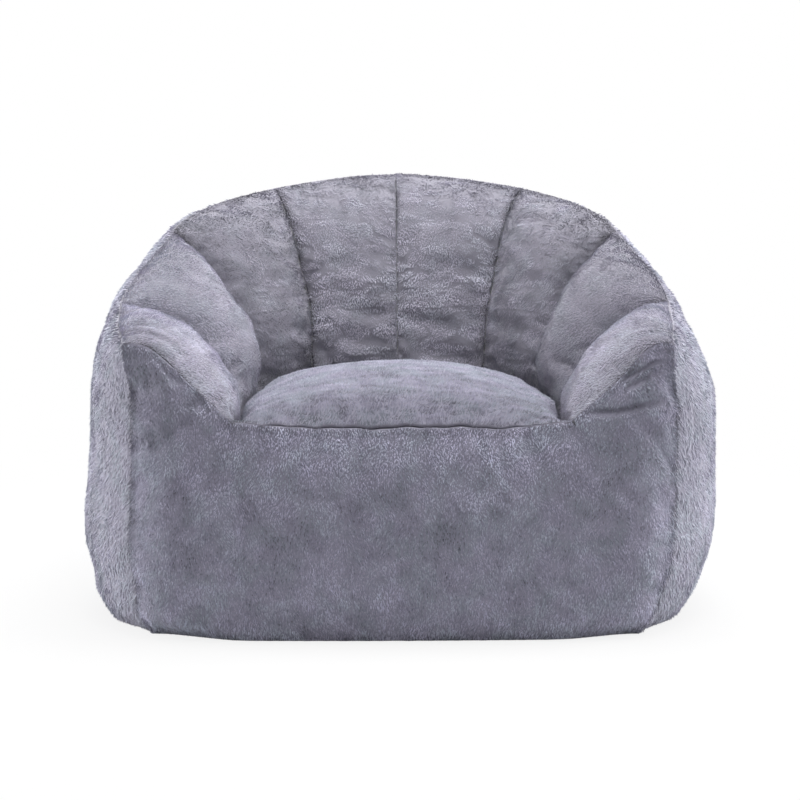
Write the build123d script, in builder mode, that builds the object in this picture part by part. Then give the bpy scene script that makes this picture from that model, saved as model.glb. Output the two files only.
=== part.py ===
"""Bean bag chair: a plush tub of eight padded channels round a crowned seat, over two inner bags of beads.

The chair is drawn on a fan of upright planes. Each plane passes through a point on the middle line and
turns from the arm front (0 degrees, pointing left) round to the middle of the back (90 degrees). A place
along the fan is a station: 0 at the arm front, 1, 2 and 3 at the channel seams, 4 at the middle of the back.
In each plane the first coordinate is the reach from the middle line and the second is the height.
The front faces -Y, and the origin is on the floor under the middle of the chair.
"""
import os
from math import asin, cos, degrees, hypot, radians, sin, sqrt
from build123d import *

os.makedirs("parts", exist_ok=True)

# Overall size
width = 1024.0
depth = 830.0
back_height = 674.0
arm_height = 459.0

# Seat
seat_width = 494.0
seat_depth = 498.0
seat_seam_height = 332.0
seat_crown = 62.0
seat_side_swell = 5.0
seat_rear_swell = 3.0
seat_rounding = 0.2

# Front panel
arm_draw_in = 93.0
front_width = width - 2 * arm_draw_in
front_crown = 28.0
floor_crown = 10.0
arm_crown = 1.0

# Outer wall, from its widest belly down to the floor
upper_belly_height = 340.0
belly_height = 170.0
heel_height = 70.0
belly_lean = 7.0
heel_draw_in = 12.0
floor_draw_in = 56.0
front_lean = -2.0
side_flat = 2.0

# Layers, from the plush inwards
plush = 10.0
channel_depth = 38.0
channel_crown = 24.0
liner_cloth = 1.2
base_cloth = 4.0
gap = 0.4
seam_gap = 0.15

# Zip, low in the back
zip_height = 118.0
zip_sweep = 72.0
tape_cloth = 1.0
tape_width = 10.4
coil_width = 2.6
coil_thickness = 3.2
coil_slit = 1.6
zip_depth = 5.0
zip_clear = 0.3
coil_end_sweep = 1.0
corner_share = 0.4
stop_sweep = 0.35
stop_clear = 0.1

# Zip slider and its pull tab
slider_length = 11.0
slider_width = 10.0
slider_plate = 1.5
slider_web = 1.0
slider_lip = 1.2
bridge_length = 7.0
bridge_width = 2.0
bridge_bar = 1.0
pivot_diameter = 1.4
pivot_clear = 0.4
pull_rise = 1.6
slider_park = 0.8
tag_length = 26.0
tag_width = 8.0
tag_thickness = 1.4
tag_hole = 3.0
tag_corner = 2.4
arm_lap = 1.0
bar_inset = 0.5

# How far the slabs that shape the front and the seat reach past them
front_margin = 8.0
seat_margin = 10.0
level_margin = 30.0

# Places that follow from the sizes above
tub_radius = width / 2
axis_y = depth / 2 - tub_radius
front_y = front_crown - depth / 2
seat_half = seat_width / 2
front_half = front_width / 2
inside_front_y = front_y + plush + gap
rear_reach = seat_depth + front_y - axis_y
ridge_rise = back_height - arm_height
window_cut = 6 * zip_depth

# Five seam planes on the left half, from the arm front to the middle of the back
first_seam_share = 0.37
first_seam_y = axis_y + first_seam_share * (front_y - axis_y)
rear_half = seat_half + seat_rear_swell
rear_corner = rear_half + seat_rounding * (rear_reach - rear_half)
seam_centre = (inside_front_y, first_seam_y, axis_y, axis_y, axis_y)
seam_turn = (0.0, 4.0, 18.5, 54.0, 90.0)
seam_foot = (seat_half, seat_half + seat_side_swell, rear_half, rear_corner, rear_reach)
seam_belly = (front_half, tub_radius - side_flat, tub_radius, tub_radius, tub_radius)
seam_lean = (front_lean, belly_lean, belly_lean, belly_lean, belly_lean)
seam_setback = (1.0, 74.0, 124.0, 119.0, 112.0)
seam_climb = (0.0, 0.19, 0.65, 0.935, 1.0)
seam_height = tuple(arm_height + share * ridge_rise for share in seam_climb)
seam_knee_out = (0.54, 0.51, 0.45, 0.47, 0.50)
seam_knee_up = (0.76, 0.65, 0.63, 0.66, 0.71)
seam_ridge = tuple(b - s for b, s in zip(seam_belly, seam_setback))

channels_per_side = len(seam_turn) - 1
steps_per_channel = 6
half_fan = [k / steps_per_channel for k in range(channels_per_side * steps_per_channel + 1)]
whole_fan = [k / steps_per_channel for k in range(2 * channels_per_side * steps_per_channel + 1)]


# Drawing helpers
def blend(values, u, past_middle):
    """Smooth value at station u through the five seam values, with no overshoot between them."""
    row = list(values) + [past_middle]
    k = min(int(u), len(values) - 2)
    steps = [b - a for a, b in zip(row, row[1:])]
    slopes = [steps[0]]
    for before, after in zip(steps, steps[1:]):
        slopes.append(2 * before * after / (before + after) if before * after > 0 else 0.0)
    f = u - k
    rise = 3 * f**2 - 2 * f**3
    start, end = f - 2 * f**2 + f**3, f**3 - f**2
    return row[k] + steps[k] * rise + slopes[k] * start + slopes[k + 1] * end


def even(values, u):
    """Value at station u on either half: the right half repeats the left one."""
    return blend(values, min(u, 2 * channels_per_side - u), values[-2])


def turn_at(u):
    """Direction of the plane at station u, in degrees from pointing left."""
    left = blend(seam_turn, min(u, 2 * channels_per_side - u), 180 - seam_turn[-2])
    return left if u <= channels_per_side else 180 - left


def station_plane(u, shift=0.0):
    """Upright plane of station u: its first axis points outwards, its second up."""
    a = radians(turn_at(u))
    across = Plane((0, even(seam_centre, u), 0), x_dir=(-cos(a), sin(a), 0), z_dir=(sin(a), cos(a), 0))
    return across.offset(shift)


def unit(v):
    """The same direction with a length of one."""
    return Vector(*v).normalized()


def bounce(direction, chord):
    """Direction in which an arc ends that starts along direction and spans chord."""
    c = unit(chord)
    return c * (2 * direction.dot(c)) - direction


class Station:
    """Sizes of the chair in one plane of the fan."""

    def __init__(self, u):
        self.foot = Vector(even(seam_foot, u), seat_seam_height)
        self.ridge = Vector(even(seam_ridge, u), even(seam_height, u))
        rise = self.ridge - self.foot
        self.knee = self.foot + Vector(even(seam_knee_out, u) * rise.X, even(seam_knee_up, u) * rise.Y)
        self.belly = even(seam_belly, u)
        self.upper_belly = self.belly - even(seam_lean, u)
        seat_end = bounce(unit(self.knee - self.foot), self.ridge - self.knee)
        self.seat_normal = Vector(-seat_end.Y, seat_end.X)
        lean_in = self.upper_belly - self.ridge.X
        climb = self.ridge.Y - upper_belly_height
        self.wall_bow = (lean_in**2 + climb**2) / (2 * lean_in)
        self.wall_centre = Vector(self.upper_belly - self.wall_bow, upper_belly_height)

    def corner(self, below_seat, inside_wall):
        """Point under the ridge that lies so far below the seat face and so far inside the wall."""
        n, w = self.seat_normal, unit(self.ridge - self.wall_centre)
        det = n.X * w.Y - n.Y * w.X
        x = (-below_seat * w.Y + inside_wall * n.Y) / det
        y = (-inside_wall * n.X + below_seat * w.X) / det
        towards = unit(self.ridge + Vector(x, y) - self.wall_centre)
        return self.wall_centre + towards * (self.wall_bow - inside_wall)

    def seat_face(self, below, crown):
        """Lower end, knee and direction of the seat face, sunk by below and crowned at the knee."""
        along = unit(self.knee - self.foot)
        knee = self.knee + Vector(-along.Y, along.X) * crown
        along = unit(knee - self.foot)
        low = self.foot - Vector(0, below / along.X)
        return low, knee - Vector(-along.Y, along.X) * below, along

    def wall_points(self, inside, floor):
        """Upper belly, belly, heel and floor points of the wall, moved inwards by inside."""
        upper = Vector(self.upper_belly - inside, upper_belly_height)
        belly = Vector(self.belly - inside, belly_height)
        heel = Vector(self.belly - heel_draw_in - inside, heel_height)
        return upper, belly, heel, Vector(self.belly - floor_draw_in - inside, floor)


def channel_section(u, outer, outer_crown, inner, inner_crown, wall_inner, shift=0.0):
    """Band between two seat faces, from the seat seam to the wall."""
    s = Station(u)
    low_out, knee_out, along_out = s.seat_face(outer, outer_crown)
    low_in, knee_in, along_in = s.seat_face(inner, inner_crown)
    top_out = s.corner(outer, wall_inner[0])
    top_in = s.corner(inner, wall_inner[1])
    with BuildSketch(station_plane(u, shift)) as section:
        with BuildLine():
            Line(low_out, knee_out)
            TangentArc(knee_out, top_out, tangent=along_out)
            Line(top_out, top_in)
            TangentArc(knee_in, top_in, tangent=along_in)
            Line(knee_in, low_in)
            Line(low_in, low_out)
        make_face()
    return section.sketch


def wall_section(u, shift=0.0):
    """Plush wall from the ridge over the belly and round the heel to the floor."""
    s = Station(u)
    with BuildSketch(station_plane(u, shift)) as section:
        with BuildLine():
            for inside in (0.0, plush):
                upper, belly, heel, floor = s.wall_points(inside, 0.0)
                TangentArc(upper, s.corner(inside, inside), tangent=(0, 1))
                Line(upper, belly)
                TangentArc(belly, heel, tangent=(0, -1))
                TangentArc(heel, floor, tangent=bounce(Vector(0, -1), heel - belly))
            Line(s.corner(0.0, 0.0), s.corner(plush, plush))
            Line(s.wall_points(0.0, 0.0)[-1], s.wall_points(plush, 0.0)[-1])
        make_face()
    return section.sketch


def bolster_section(u, skin, shift=0.0):
    """Whole section of the back bag, with skin taken off all round."""
    s = Station(u)
    below = channel_depth + gap + skin
    inside = plush + gap + skin
    floor = base_cloth + gap + skin
    low, knee, along = s.seat_face(below, 0.0)
    top = s.corner(below, inside)
    upper, belly, heel, floor_out = s.wall_points(inside, floor)
    step = gap + skin
    shoulder = low + along * (step / along.X)
    floor_in = Vector(s.foot.X + step, floor)
    with BuildSketch(station_plane(u, shift)) as section:
        with BuildLine():
            Line(floor_in, shoulder)
            Line(shoulder, knee)
            TangentArc(knee, top, tangent=along)
            TangentArc(upper, top, tangent=(0, 1))
            Line(upper, belly)
            TangentArc(belly, heel, tangent=(0, -1))
            TangentArc(heel, floor_out, tangent=bounce(Vector(0, -1), heel - belly))
            Line(floor_out, floor_in)
        make_face()
    return section.sketch


def bolster_sections(skin):
    """Sections of the back bag right round the fan, its two ends drawn in by skin."""
    last = whole_fan[-1]
    ends = {whole_fan[0]: skin, last: -skin}
    return [bolster_section(u, skin, ends.get(u, 0.0)) for u in whole_fan]


def fan_points(reach, height=0.0):
    """Points at the same kind of reach in every plane of the fan, from the left arm front to the right."""
    return [station_plane(u).from_local_coords(Vector(reach(u), height)) for u in whole_fan]


# Front crown: how far the front panel stands forward in the middle, at each height
crown_shares = (0.0, 0.2, 0.4, 0.6, 0.8, 1.0)
below_floor = -1.0
above_arm = arm_height + level_margin


def crown_at(height):
    """Front crown at a height: least at the floor, full at the belly, and almost none at the seat seam."""
    if height <= belly_height:
        return floor_crown + (front_crown - floor_crown) * sin(radians(90 * max(height, 0) / belly_height))
    fall = min((height - belly_height) / (seat_seam_height - belly_height), 1.0)
    return arm_crown + (front_crown - arm_crown) * cos(radians(90 * fall)) ** 2


crown_levels = [below_floor]
crown_levels += [share * belly_height for share in crown_shares]
crown_levels += [belly_height + share * (seat_seam_height - belly_height) for share in crown_shares[1:]]
crown_levels += [above_arm]


def front_sections(near, far):
    """Crowned slices of the front, from near to far behind its edge."""
    sections = []
    half = front_half + front_margin
    for height in crown_levels:
        crown = crown_at(height)
        y_near, y_far = front_y + near, front_y + far
        with BuildSketch(Plane.XY.offset(height)) as section:
            with BuildLine():
                ThreePointArc((-half, y_near), (0, y_near - crown), (half, y_near))
                Line((half, y_near), (half, y_far))
                if far > plush:
                    Line((half, y_far), (-half, y_far))
                else:
                    ThreePointArc((half, y_far), (0, y_far - crown), (-half, y_far))
                Line((-half, y_far), (-half, y_near))
            make_face()
        sections.append(section.sketch)
    return sections


# Seat crown: rise of the middle of the seat above its seam, at shares of the seat depth
seat_levels = ((0.0, 0.10), (0.18, 0.70), (0.45, 1.0), (0.75, 0.92), (1.02, 0.45))


def seat_arc_points(share, rise, below):
    """Left end, top and right end of the seat's crown on one line across it."""
    y = inside_front_y + share * (seat_depth - plush)
    half = seat_half + seat_margin
    edge = seat_seam_height - below
    return y, half, edge, edge + rise * seat_crown


def seat_sections(below, bottom):
    """Slices across the seat, from bottom up to its crown; bottom of None gives the plush alone."""
    sections = []
    for share, rise in seat_levels:
        y, half, edge, top = seat_arc_points(share, rise, below)
        with BuildSketch(Plane((0, y, 0), x_dir=(1, 0, 0), z_dir=(0, -1, 0))) as section:
            with BuildLine():
                ThreePointArc((-half, edge), (0, top), (half, edge))
                if bottom is None:
                    Line((half, edge), (half, edge - plush))
                    ThreePointArc((half, edge - plush), (0, top - plush), (-half, edge - plush))
                    Line((-half, edge - plush), (-half, edge))
                else:
                    Polyline((half, edge), (half, bottom), (-half, bottom), (-half, edge))
            make_face()
        sections.append(section.sketch)
    return sections


def seat_outline(inset, front):
    """Plan of the seat inside the channels, inset from them, with its front edge at front."""
    points = fan_points(lambda u: even(seam_foot, u) - inset)
    with BuildSketch() as outline:
        with BuildLine():
            Spline(*points)
            Polyline(points[0], (points[0].X, front), (points[-1].X, front), points[-1])
        make_face()
    return outline.sketch


# Eight back channels: plush covers, and the wadding that fills them
def channel_sections(number, outer, inner, wall_inner, inner_follows):
    """Sections of one channel from seam to seam, arched between them, with a seam gap at both ends."""
    sections = []
    for k in range(steps_per_channel + 1):
        share = k / steps_per_channel
        u = number + share
        crown = channel_crown * 4 * share * (1 - share)
        shift = {0: seam_gap, steps_per_channel: -seam_gap}.get(k, 0.0)
        inner_crown = crown if inner_follows else 0.0
        sections.append(channel_section(u, outer, crown, inner, inner_crown, wall_inner, shift))
    return sections


for number in range(channels_per_side):
    opposite = 2 * channels_per_side - number
    cover_ends = (gap, plush + gap)
    wadding_ends = (plush + gap, plush + gap)

    with BuildPart() as back_channel:
        loft(sections=channel_sections(number, 0.0, plush, cover_ends, True))
    with BuildPart() as channel_wadding:
        loft(sections=channel_sections(number, plush + gap, channel_depth, wadding_ends, False))
    with BuildPart() as back_channel_right:
        mirror(back_channel.part, about=Plane.YZ)
    with BuildPart() as channel_wadding_right:
        mirror(channel_wadding.part, about=Plane.YZ)

    for piece, label in (
        (back_channel, f"back_channel_{number + 1}"),
        (back_channel_right, f"back_channel_{opposite}"),
        (channel_wadding, f"channel_wadding_{number + 1}"),
        (channel_wadding_right, f"channel_wadding_{opposite}"),
    ):
        piece.part.label = label
        export_step(piece.part, f"parts/{label}.step")

# Zip frame: a plane in which the first axis points out of the wall and the second up along it
heel_bow = (heel_draw_in**2 + (belly_height - heel_height) ** 2) / (2 * heel_draw_in)
zip_drop = belly_height - zip_height
zip_tilt = asin(zip_drop / heel_bow)
wall_reach = tub_radius - heel_bow + sqrt(heel_bow**2 - zip_drop**2)
tape_reach = wall_reach - zip_depth * cos(zip_tilt)
tape_height = zip_height + zip_depth * sin(zip_tilt)
zip_axis = Axis((0, axis_y, 0), (0, 0, 1))
tape_start = coil_slit / 2 + coil_width
window_half = tape_start + tape_width + zip_clear


def zip_plane(azimuth):
    """Plane across the zip at an angle from the middle of the back, towards the right arm."""
    a = radians(azimuth)
    outwards = Vector(sin(a), cos(a), 0)
    origin = Vector(0, axis_y, tape_height) + outwards * tape_reach
    normal = outwards * cos(zip_tilt) - Vector(0, 0, sin(zip_tilt))
    return Plane(origin, x_dir=normal, z_dir=outwards.cross(Vector(0, 0, 1)))


tape_half_sweep = zip_sweep / 2 - degrees(zip_clear / tape_reach)
coil_half_sweep = tape_half_sweep - coil_end_sweep

# Outer wall, one panel a side, sewn together in the middle of the back, with half the zip window in each
left_sections = [wall_section(u) for u in half_fan[:-1]]
left_sections.append(wall_section(half_fan[-1], -seam_gap))
with BuildPart() as outer_wall_left:
    loft(sections=left_sections)
    with BuildSketch(zip_plane(zip_sweep / 2)):
        Rectangle(window_cut, 2 * window_half)
    revolve(axis=zip_axis, revolution_arc=zip_sweep, mode=Mode.SUBTRACT)
outer_wall_left.part.label = "outer_wall_left"
export_step(outer_wall_left.part, "parts/outer_wall_left.step")

with BuildPart() as outer_wall_right:
    mirror(outer_wall_left.part, about=Plane.YZ)
outer_wall_right.part.label = "outer_wall_right"
export_step(outer_wall_right.part, "parts/outer_wall_right.step")

# Front panel: the apron and both arm fronts, cut in one
front = Station(0)
with BuildPart() as front_panel:
    loft(sections=front_sections(0.0, plush), ruled=True)
    with BuildSketch(Plane.XZ.offset(-inside_front_y)):
        with BuildLine():
            for side in (-1, 1):
                def at(point):
                    return (side * point.X, point.Y)

                low, knee, along = front.seat_face(0.0, 0.0)
                upper, belly, heel, floor = front.wall_points(0.0, 0.0)
                turn_in = bounce(Vector(0, -1), heel - belly)
                Line(at(low), at(knee))
                TangentArc(at(knee), at(front.ridge), tangent=at(along))
                TangentArc(at(upper), at(front.ridge), tangent=(0, 1))
                Line(at(upper), at(belly))
                TangentArc(at(belly), at(heel), tangent=(0, -1))
                TangentArc(at(heel), at(floor), tangent=at(turn_in))
            Line((-seat_half, seat_seam_height), (seat_half, seat_seam_height))
            Line((-floor.X, floor.Y), (floor.X, floor.Y))
        make_face()
    extrude(amount=2 * front_crown, both=True, mode=Mode.INTERSECT)
front_panel.part.label = "front_panel"
export_step(front_panel.part, "parts/front_panel.step")

# Seat panel: crowned plush inside the channels
with BuildPart() as seat_panel:
    loft(sections=seat_sections(0.0, None))
    extrude(seat_outline(gap, front_y), amount=2 * back_height, mode=Mode.INTERSECT)
seat_panel.part.label = "seat_panel"
export_step(seat_panel.part, "parts/seat_panel.step")

# Base panel: flat cloth inside the lower edge of the walls and the front
base_edge = fan_points(lambda u: Station(u).wall_points(plush + gap, 0.0)[-1].X)
with BuildPart() as base_panel:
    with BuildSketch():
        with BuildLine():
            Spline(*base_edge)
            ThreePointArc(base_edge[0], (0, inside_front_y - floor_crown + gap), base_edge[-1])
        make_face()
    extrude(amount=base_cloth)
base_panel.part.label = "base_panel"
export_step(base_panel.part, "parts/base_panel.step")

# Inner bag of the back and arms: cloth liner round its beads
with BuildPart() as back_liner:
    loft(sections=bolster_sections(0.0))
    loft(sections=bolster_sections(liner_cloth), mode=Mode.SUBTRACT)
back_liner.part.label = "back_liner"
export_step(back_liner.part, "parts/back_liner.step")

with BuildPart() as back_fill:
    loft(sections=bolster_sections(liner_cloth + gap))
back_fill.part.label = "back_fill"
export_step(back_fill.part, "parts/back_fill.step")


def seat_bag(skin):
    """Solid of the seat bag under the plush, behind the front panel, with skin taken off all round."""
    bottom = base_cloth + gap + skin
    far = seat_depth + 2 * plush
    with BuildPart() as bag:
        loft(sections=seat_sections(plush + gap + skin, bottom - depth))
        loft(sections=front_sections(plush + gap + skin, far), ruled=True, mode=Mode.INTERSECT)
        outline = seat_outline(gap + skin, front_y - front_crown)
        extrude(outline.moved(Location((0, 0, bottom))), amount=back_height, mode=Mode.INTERSECT)
    return bag.part


# Inner bag under the seat: cloth liner round its beads
with BuildPart() as seat_liner:
    add(seat_bag(0.0))
    add(seat_bag(liner_cloth), mode=Mode.SUBTRACT)
seat_liner.part.label = "seat_liner"
export_step(seat_liner.part, "parts/seat_liner.step")

with BuildPart() as seat_fill:
    add(seat_bag(liner_cloth + gap))
seat_fill.part.label = "seat_fill"
export_step(seat_fill.part, "parts/seat_fill.step")

# Zip tapes and coils: each row follows the wall on an arc about the middle of the tub
tape_middle = tape_start + tape_width / 2
coil_middle = coil_slit / 2 + coil_width / 2
for side, row in ((1, "upper"), (-1, "lower")):
    with BuildPart() as zip_tape:
        with BuildSketch(zip_plane(tape_half_sweep)):
            with Locations((0, side * tape_middle)):
                Rectangle(tape_cloth, tape_width)
        revolve(axis=zip_axis, revolution_arc=2 * tape_half_sweep)
    zip_tape.part.label = f"zip_tape_{row}"
    export_step(zip_tape.part, f"parts/zip_tape_{row}.step")

    with BuildPart() as zip_coil:
        with BuildSketch(zip_plane(coil_half_sweep)):
            with Locations((0, side * coil_middle)):
                RectangleRounded(coil_thickness, coil_width - 2 * stop_clear, corner_share * coil_width)
        revolve(axis=zip_axis, revolution_arc=2 * coil_half_sweep)
    zip_coil.part.label = f"zip_coil_{row}"
    export_step(zip_coil.part, f"parts/zip_coil_{row}.step")

# End stops: a small block across the coils at each end
with BuildPart() as zip_end_stops:
    for start in (coil_half_sweep + stop_clear + stop_sweep, -coil_half_sweep - stop_clear):
        with BuildSketch(zip_plane(start)):
            Rectangle(coil_thickness, 2 * (tape_start - stop_clear))
        revolve(axis=zip_axis, revolution_arc=stop_sweep)
zip_end_stops.part.label = "zip_end_stops"
export_step(zip_end_stops.part, "parts/zip_end_stops.step")

# Slider: two plates joined by a web in the slit, with lips over the tapes and a bridge for the pull
slider_sweep = degrees(slider_length / tape_reach)
slider_rest = coil_half_sweep - slider_park * slider_sweep
plate_low = coil_thickness / 2 + zip_clear
plate_high = plate_low + slider_plate
lip_low = tape_cloth / 2 + zip_clear
pivot_high = plate_high + pivot_diameter / 2 + pivot_clear + pull_rise
bridge_high = pivot_high + pivot_diameter / 2 + pivot_clear + bridge_bar
hole_length = bridge_length - 2 * bridge_bar
slider_plane = zip_plane(slider_rest)
bridge_plane = Plane(
    slider_plane.origin + slider_plane.x_dir * pivot_high,
    x_dir=-slider_plane.z_dir,
    z_dir=slider_plane.y_dir,
)

with BuildPart() as zip_slider:
    with BuildSketch(zip_plane(slider_rest + slider_sweep / 2)):
        Rectangle(2 * plate_low + slider_plate, slider_web)
        for face in (-1, 1):
            with Locations((face * (plate_low + plate_high) / 2, 0)):
                Rectangle(slider_plate, slider_width)
            for side in (-1, 1):
                with Locations((face * (lip_low + plate_high) / 2, side * (slider_width - slider_lip) / 2)):
                    Rectangle(plate_high - lip_low, slider_lip)
    revolve(axis=zip_axis, revolution_arc=slider_sweep)
    with BuildSketch(bridge_plane):
        foot = pivot_high - plate_high + slider_plate / 2
        top = bridge_high - pivot_high
        with Locations((0, (foot - top) / 2)):
            Rectangle(bridge_length, foot + top)
        RectangleRounded(
            hole_length,
            pivot_diameter + 2 * pivot_clear,
            corner_share * pivot_diameter,
            mode=Mode.SUBTRACT,
        )
    extrude(amount=bridge_width / 2, both=True)
zip_slider.part.label = "zip_slider"
export_step(zip_slider.part, "parts/zip_slider.step")

# Pull tab: a bar through the bridge, two arms beside it and a flat tag
arm_in = bridge_width / 2 + pivot_clear
tag_start = hypot(bridge_length / 2, bridge_high - pivot_high) + 2 * pivot_clear
with BuildPart() as zip_pull:
    with BuildSketch(bridge_plane):
        Circle(pivot_diameter / 2)
    extrude(amount=tag_width / 2 - bar_inset, both=True)
    for side in (-1, 1):
        with BuildSketch(bridge_plane.offset(side * arm_in)):
            with Locations(((tag_start + arm_lap) / 2, 0)):
                Rectangle(tag_start + arm_lap, tag_thickness)
            Circle(tag_thickness / 2)
        extrude(amount=side * (tag_width / 2 - arm_in))
    tag_plane = Plane(bridge_plane.origin, x_dir=bridge_plane.x_dir, z_dir=bridge_plane.y_dir)
    with BuildSketch(tag_plane):
        with Locations((tag_start + tag_length / 2, 0)):
            RectangleRounded(tag_length, tag_width, tag_corner)
        with Locations((tag_start + tag_length - tag_width / 2, 0)):
            Circle(tag_hole / 2, mode=Mode.SUBTRACT)
    extrude(amount=tag_thickness / 2, both=True)
zip_pull.part.label = "zip_pull"
export_step(zip_pull.part, "parts/zip_pull.step")

# Joint axes and travel
print("zip axis at", (0.0, axis_y, 0.0), "travel", round(2 * slider_rest, 2), "degrees")
print("pull pivot at", bridge_plane.origin, "along", bridge_plane.z_dir, "tag towards", bridge_plane.x_dir)
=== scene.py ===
# %% [markdown]
# # Bean bag chair in grey plush
# The chair is a soft tub: eight padded channels line the arms and the back, a crowned seat lies between
# them, a front panel is cut in one with the two arm fronts, and a plain wall goes round the outside.
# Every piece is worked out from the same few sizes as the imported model, so each one lands in its place.

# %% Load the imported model
import bpy
import numpy as np
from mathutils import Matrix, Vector


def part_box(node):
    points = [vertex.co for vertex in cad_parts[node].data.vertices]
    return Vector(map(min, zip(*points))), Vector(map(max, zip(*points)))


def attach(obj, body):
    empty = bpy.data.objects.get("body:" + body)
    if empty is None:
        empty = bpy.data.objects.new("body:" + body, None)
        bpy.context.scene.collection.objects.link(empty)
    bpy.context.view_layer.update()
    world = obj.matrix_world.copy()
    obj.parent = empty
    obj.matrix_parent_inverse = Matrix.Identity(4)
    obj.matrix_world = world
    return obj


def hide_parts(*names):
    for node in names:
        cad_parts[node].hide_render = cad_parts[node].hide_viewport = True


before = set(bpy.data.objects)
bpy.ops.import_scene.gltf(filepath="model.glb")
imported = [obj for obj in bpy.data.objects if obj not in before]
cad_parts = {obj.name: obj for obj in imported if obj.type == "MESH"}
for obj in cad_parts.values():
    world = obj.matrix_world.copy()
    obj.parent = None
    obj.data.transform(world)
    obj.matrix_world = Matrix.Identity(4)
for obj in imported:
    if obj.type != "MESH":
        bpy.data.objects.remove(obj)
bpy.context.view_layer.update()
chance = np.random.default_rng(11)

# %% [markdown]
# ## Camera
# A long lens a little above the seat and almost straight in front: from 3 m away the chair keeps its true
# proportions, where a short lens would swell the arms. Turning the camera would tilt the upright edges, so
# the shift of the lens sets where the chair lies in the picture.


# %% Camera
def new_object(name, data):
    """An object with this data, shown in the scene."""
    made = bpy.data.objects.new(name, data)
    bpy.context.scene.collection.objects.link(made)
    return made


def look_at(thing, place, target):
    """Puts a camera or a light at a place and turns it to a target."""
    thing.location = place
    thing.rotation_euler = (Vector(target) - thing.location).to_track_quat("-Z", "Y").to_euler()


aim = Vector((0, -0.397, 0.330))
rise, yaw, far = np.radians(9.0), np.radians(-0.9), 3.0
lens = bpy.data.cameras.new("camera")
lens.lens, lens.sensor_width = 91.1, 36.0
lens.shift_x, lens.shift_y = -0.0025, 0.032
camera = new_object("camera", lens)
back_off = Vector((np.sin(yaw) * np.cos(rise), -np.cos(yaw) * np.cos(rise), np.sin(rise)))
look_at(camera, aim + far * back_off, aim)
bpy.context.scene.camera = camera
bpy.context.scene.view_settings.view_transform = "Standard"
print("camera at", np.round(camera.location, 3).tolist())

# %% [markdown]
# ## Node and colour helpers
# Materials could be built by hand in the editor, but a script can be read and run again. One function adds
# any node, sets it and links it. Colours are sRGB hex values, turned to linear light.


# %% Helpers for materials
def linear(colour):
    """sRGB hex to linear light: below 0.04045 divide by 12.92, above it take the power 2.4 curve."""
    srgb = np.array([int(colour[k:k + 2], 16) for k in (1, 3, 5)]) / 255
    light = np.where(srgb <= 0.04045, srgb / 12.92, ((srgb + 0.055) / 1.055) ** 2.4)
    return (*light, 1.0)


def add(tree, kind, inputs=None, out=0, **settings):
    """Adds a shader node with its settings and returns one of its outputs; an input is a value, or the
    output of another node to link."""
    node = tree.nodes.new("ShaderNode" + kind)
    for name, value in settings.items():
        setattr(node, name, value)
    for name, value in (inputs or {}).items():
        if isinstance(value, bpy.types.NodeSocket):
            tree.links.new(value, node.inputs[name])
        else:
            node.inputs[name].default_value = value
    return node.outputs[out] if len(node.outputs) else None


def new_material(name):
    """An empty node material, its tree and the place on the object that its patterns read."""
    material = bpy.data.materials.new(name)
    material.use_nodes = True
    tree = material.node_tree
    tree.nodes.clear()
    return material, tree, add(tree, "TexCoord", out="Object")


def dress(tree, colour, shader, relief=None):
    """Ends a material: a Principled shader with this colour and these inputs. Relief is a height, its
    strength and its depth in metres."""
    inputs = {"Base Color": colour, **shader}
    if relief:
        inputs["Normal"] = add(tree, "Bump", dict(zip(("Height", "Strength", "Distance"), relief)))
    add(tree, "OutputMaterial", {0: add(tree, "BsdfPrincipled", inputs)})


def seen_by_eye(tree):
    """One for rays from the camera, from gloss and through glass, nought for the rest."""
    rays = [add(tree, "LightPath", out=f"Is {kind} Ray") for kind in ("Camera", "Glossy", "Transmission")]
    some = add(tree, "Math", {0: rays[0], 1: rays[1]}, operation="ADD")
    return add(tree, "Math", {0: some, 1: rays[2]}, operation="ADD", use_clamp=True)


print("half grey in linear light", round(float(linear("#808080")[0]), 4))

# %% [markdown]
# ## Studio
# A white floor, a large soft light overhead, one from each side and a weak one from the front. The front of
# the chair turns away from the strongest light, so it is the darkest part, as in the picture. A picture of a
# studio could light it too, but single lights can be aimed one by one. Near the chair the floor keeps the
# shadow; further out it turns to plain white, so no horizon shows.

# %% Floor and world
shadow_reach, plain_from, least_glow = 0.55, 1.4, 0.84
white, tree, place = new_material("white_studio_floor")
distance = add(tree, "VectorMath", {0: place}, out="Value", operation="LENGTH")
fade = {0: distance, 1: shadow_reach, 2: plain_from, 3: least_glow, 4: 1.0}
plain = add(tree, "MapRange", fade, interpolation_type="SMOOTHSTEP")
share = add(tree, "Math", {0: seen_by_eye(tree), 1: plain}, operation="MULTIPLY")
matt = add(tree, "BsdfDiffuse", {"Color": linear("#d4d4d4")})
glow = add(tree, "Emission", {"Color": (1, 1, 1, 1), "Strength": 1.0})
add(tree, "OutputMaterial", {0: add(tree, "MixShader", {0: share, 1: matt, 2: glow})})

half, under = 9.0, -0.0006
floor_mesh = bpy.data.meshes.new("floor")
floor_corners = ((-1, -1), (1, -1), (1, 1), (-1, 1))
floor_mesh.from_pydata([(x * half, y * half, under) for x, y in floor_corners], [], [(0, 1, 2, 3)])
floor_mesh.materials.append(white)
new_object("floor", floor_mesh)

world = bpy.data.worlds.new("studio")
bpy.context.scene.world = world
world.use_nodes = True
sky = world.node_tree
sky.nodes.clear()
dim, bright = (add(sky, "Background", {"Color": (1, 1, 1, 1), "Strength": power}) for power in (0.34, 1.0))
add(sky, "OutputWorld", {0: add(sky, "MixShader", {0: seen_by_eye(sky), 1: dim, 2: bright})})
print("floor", 2 * half, "m wide, plain white from", plain_from, "m")

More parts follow.
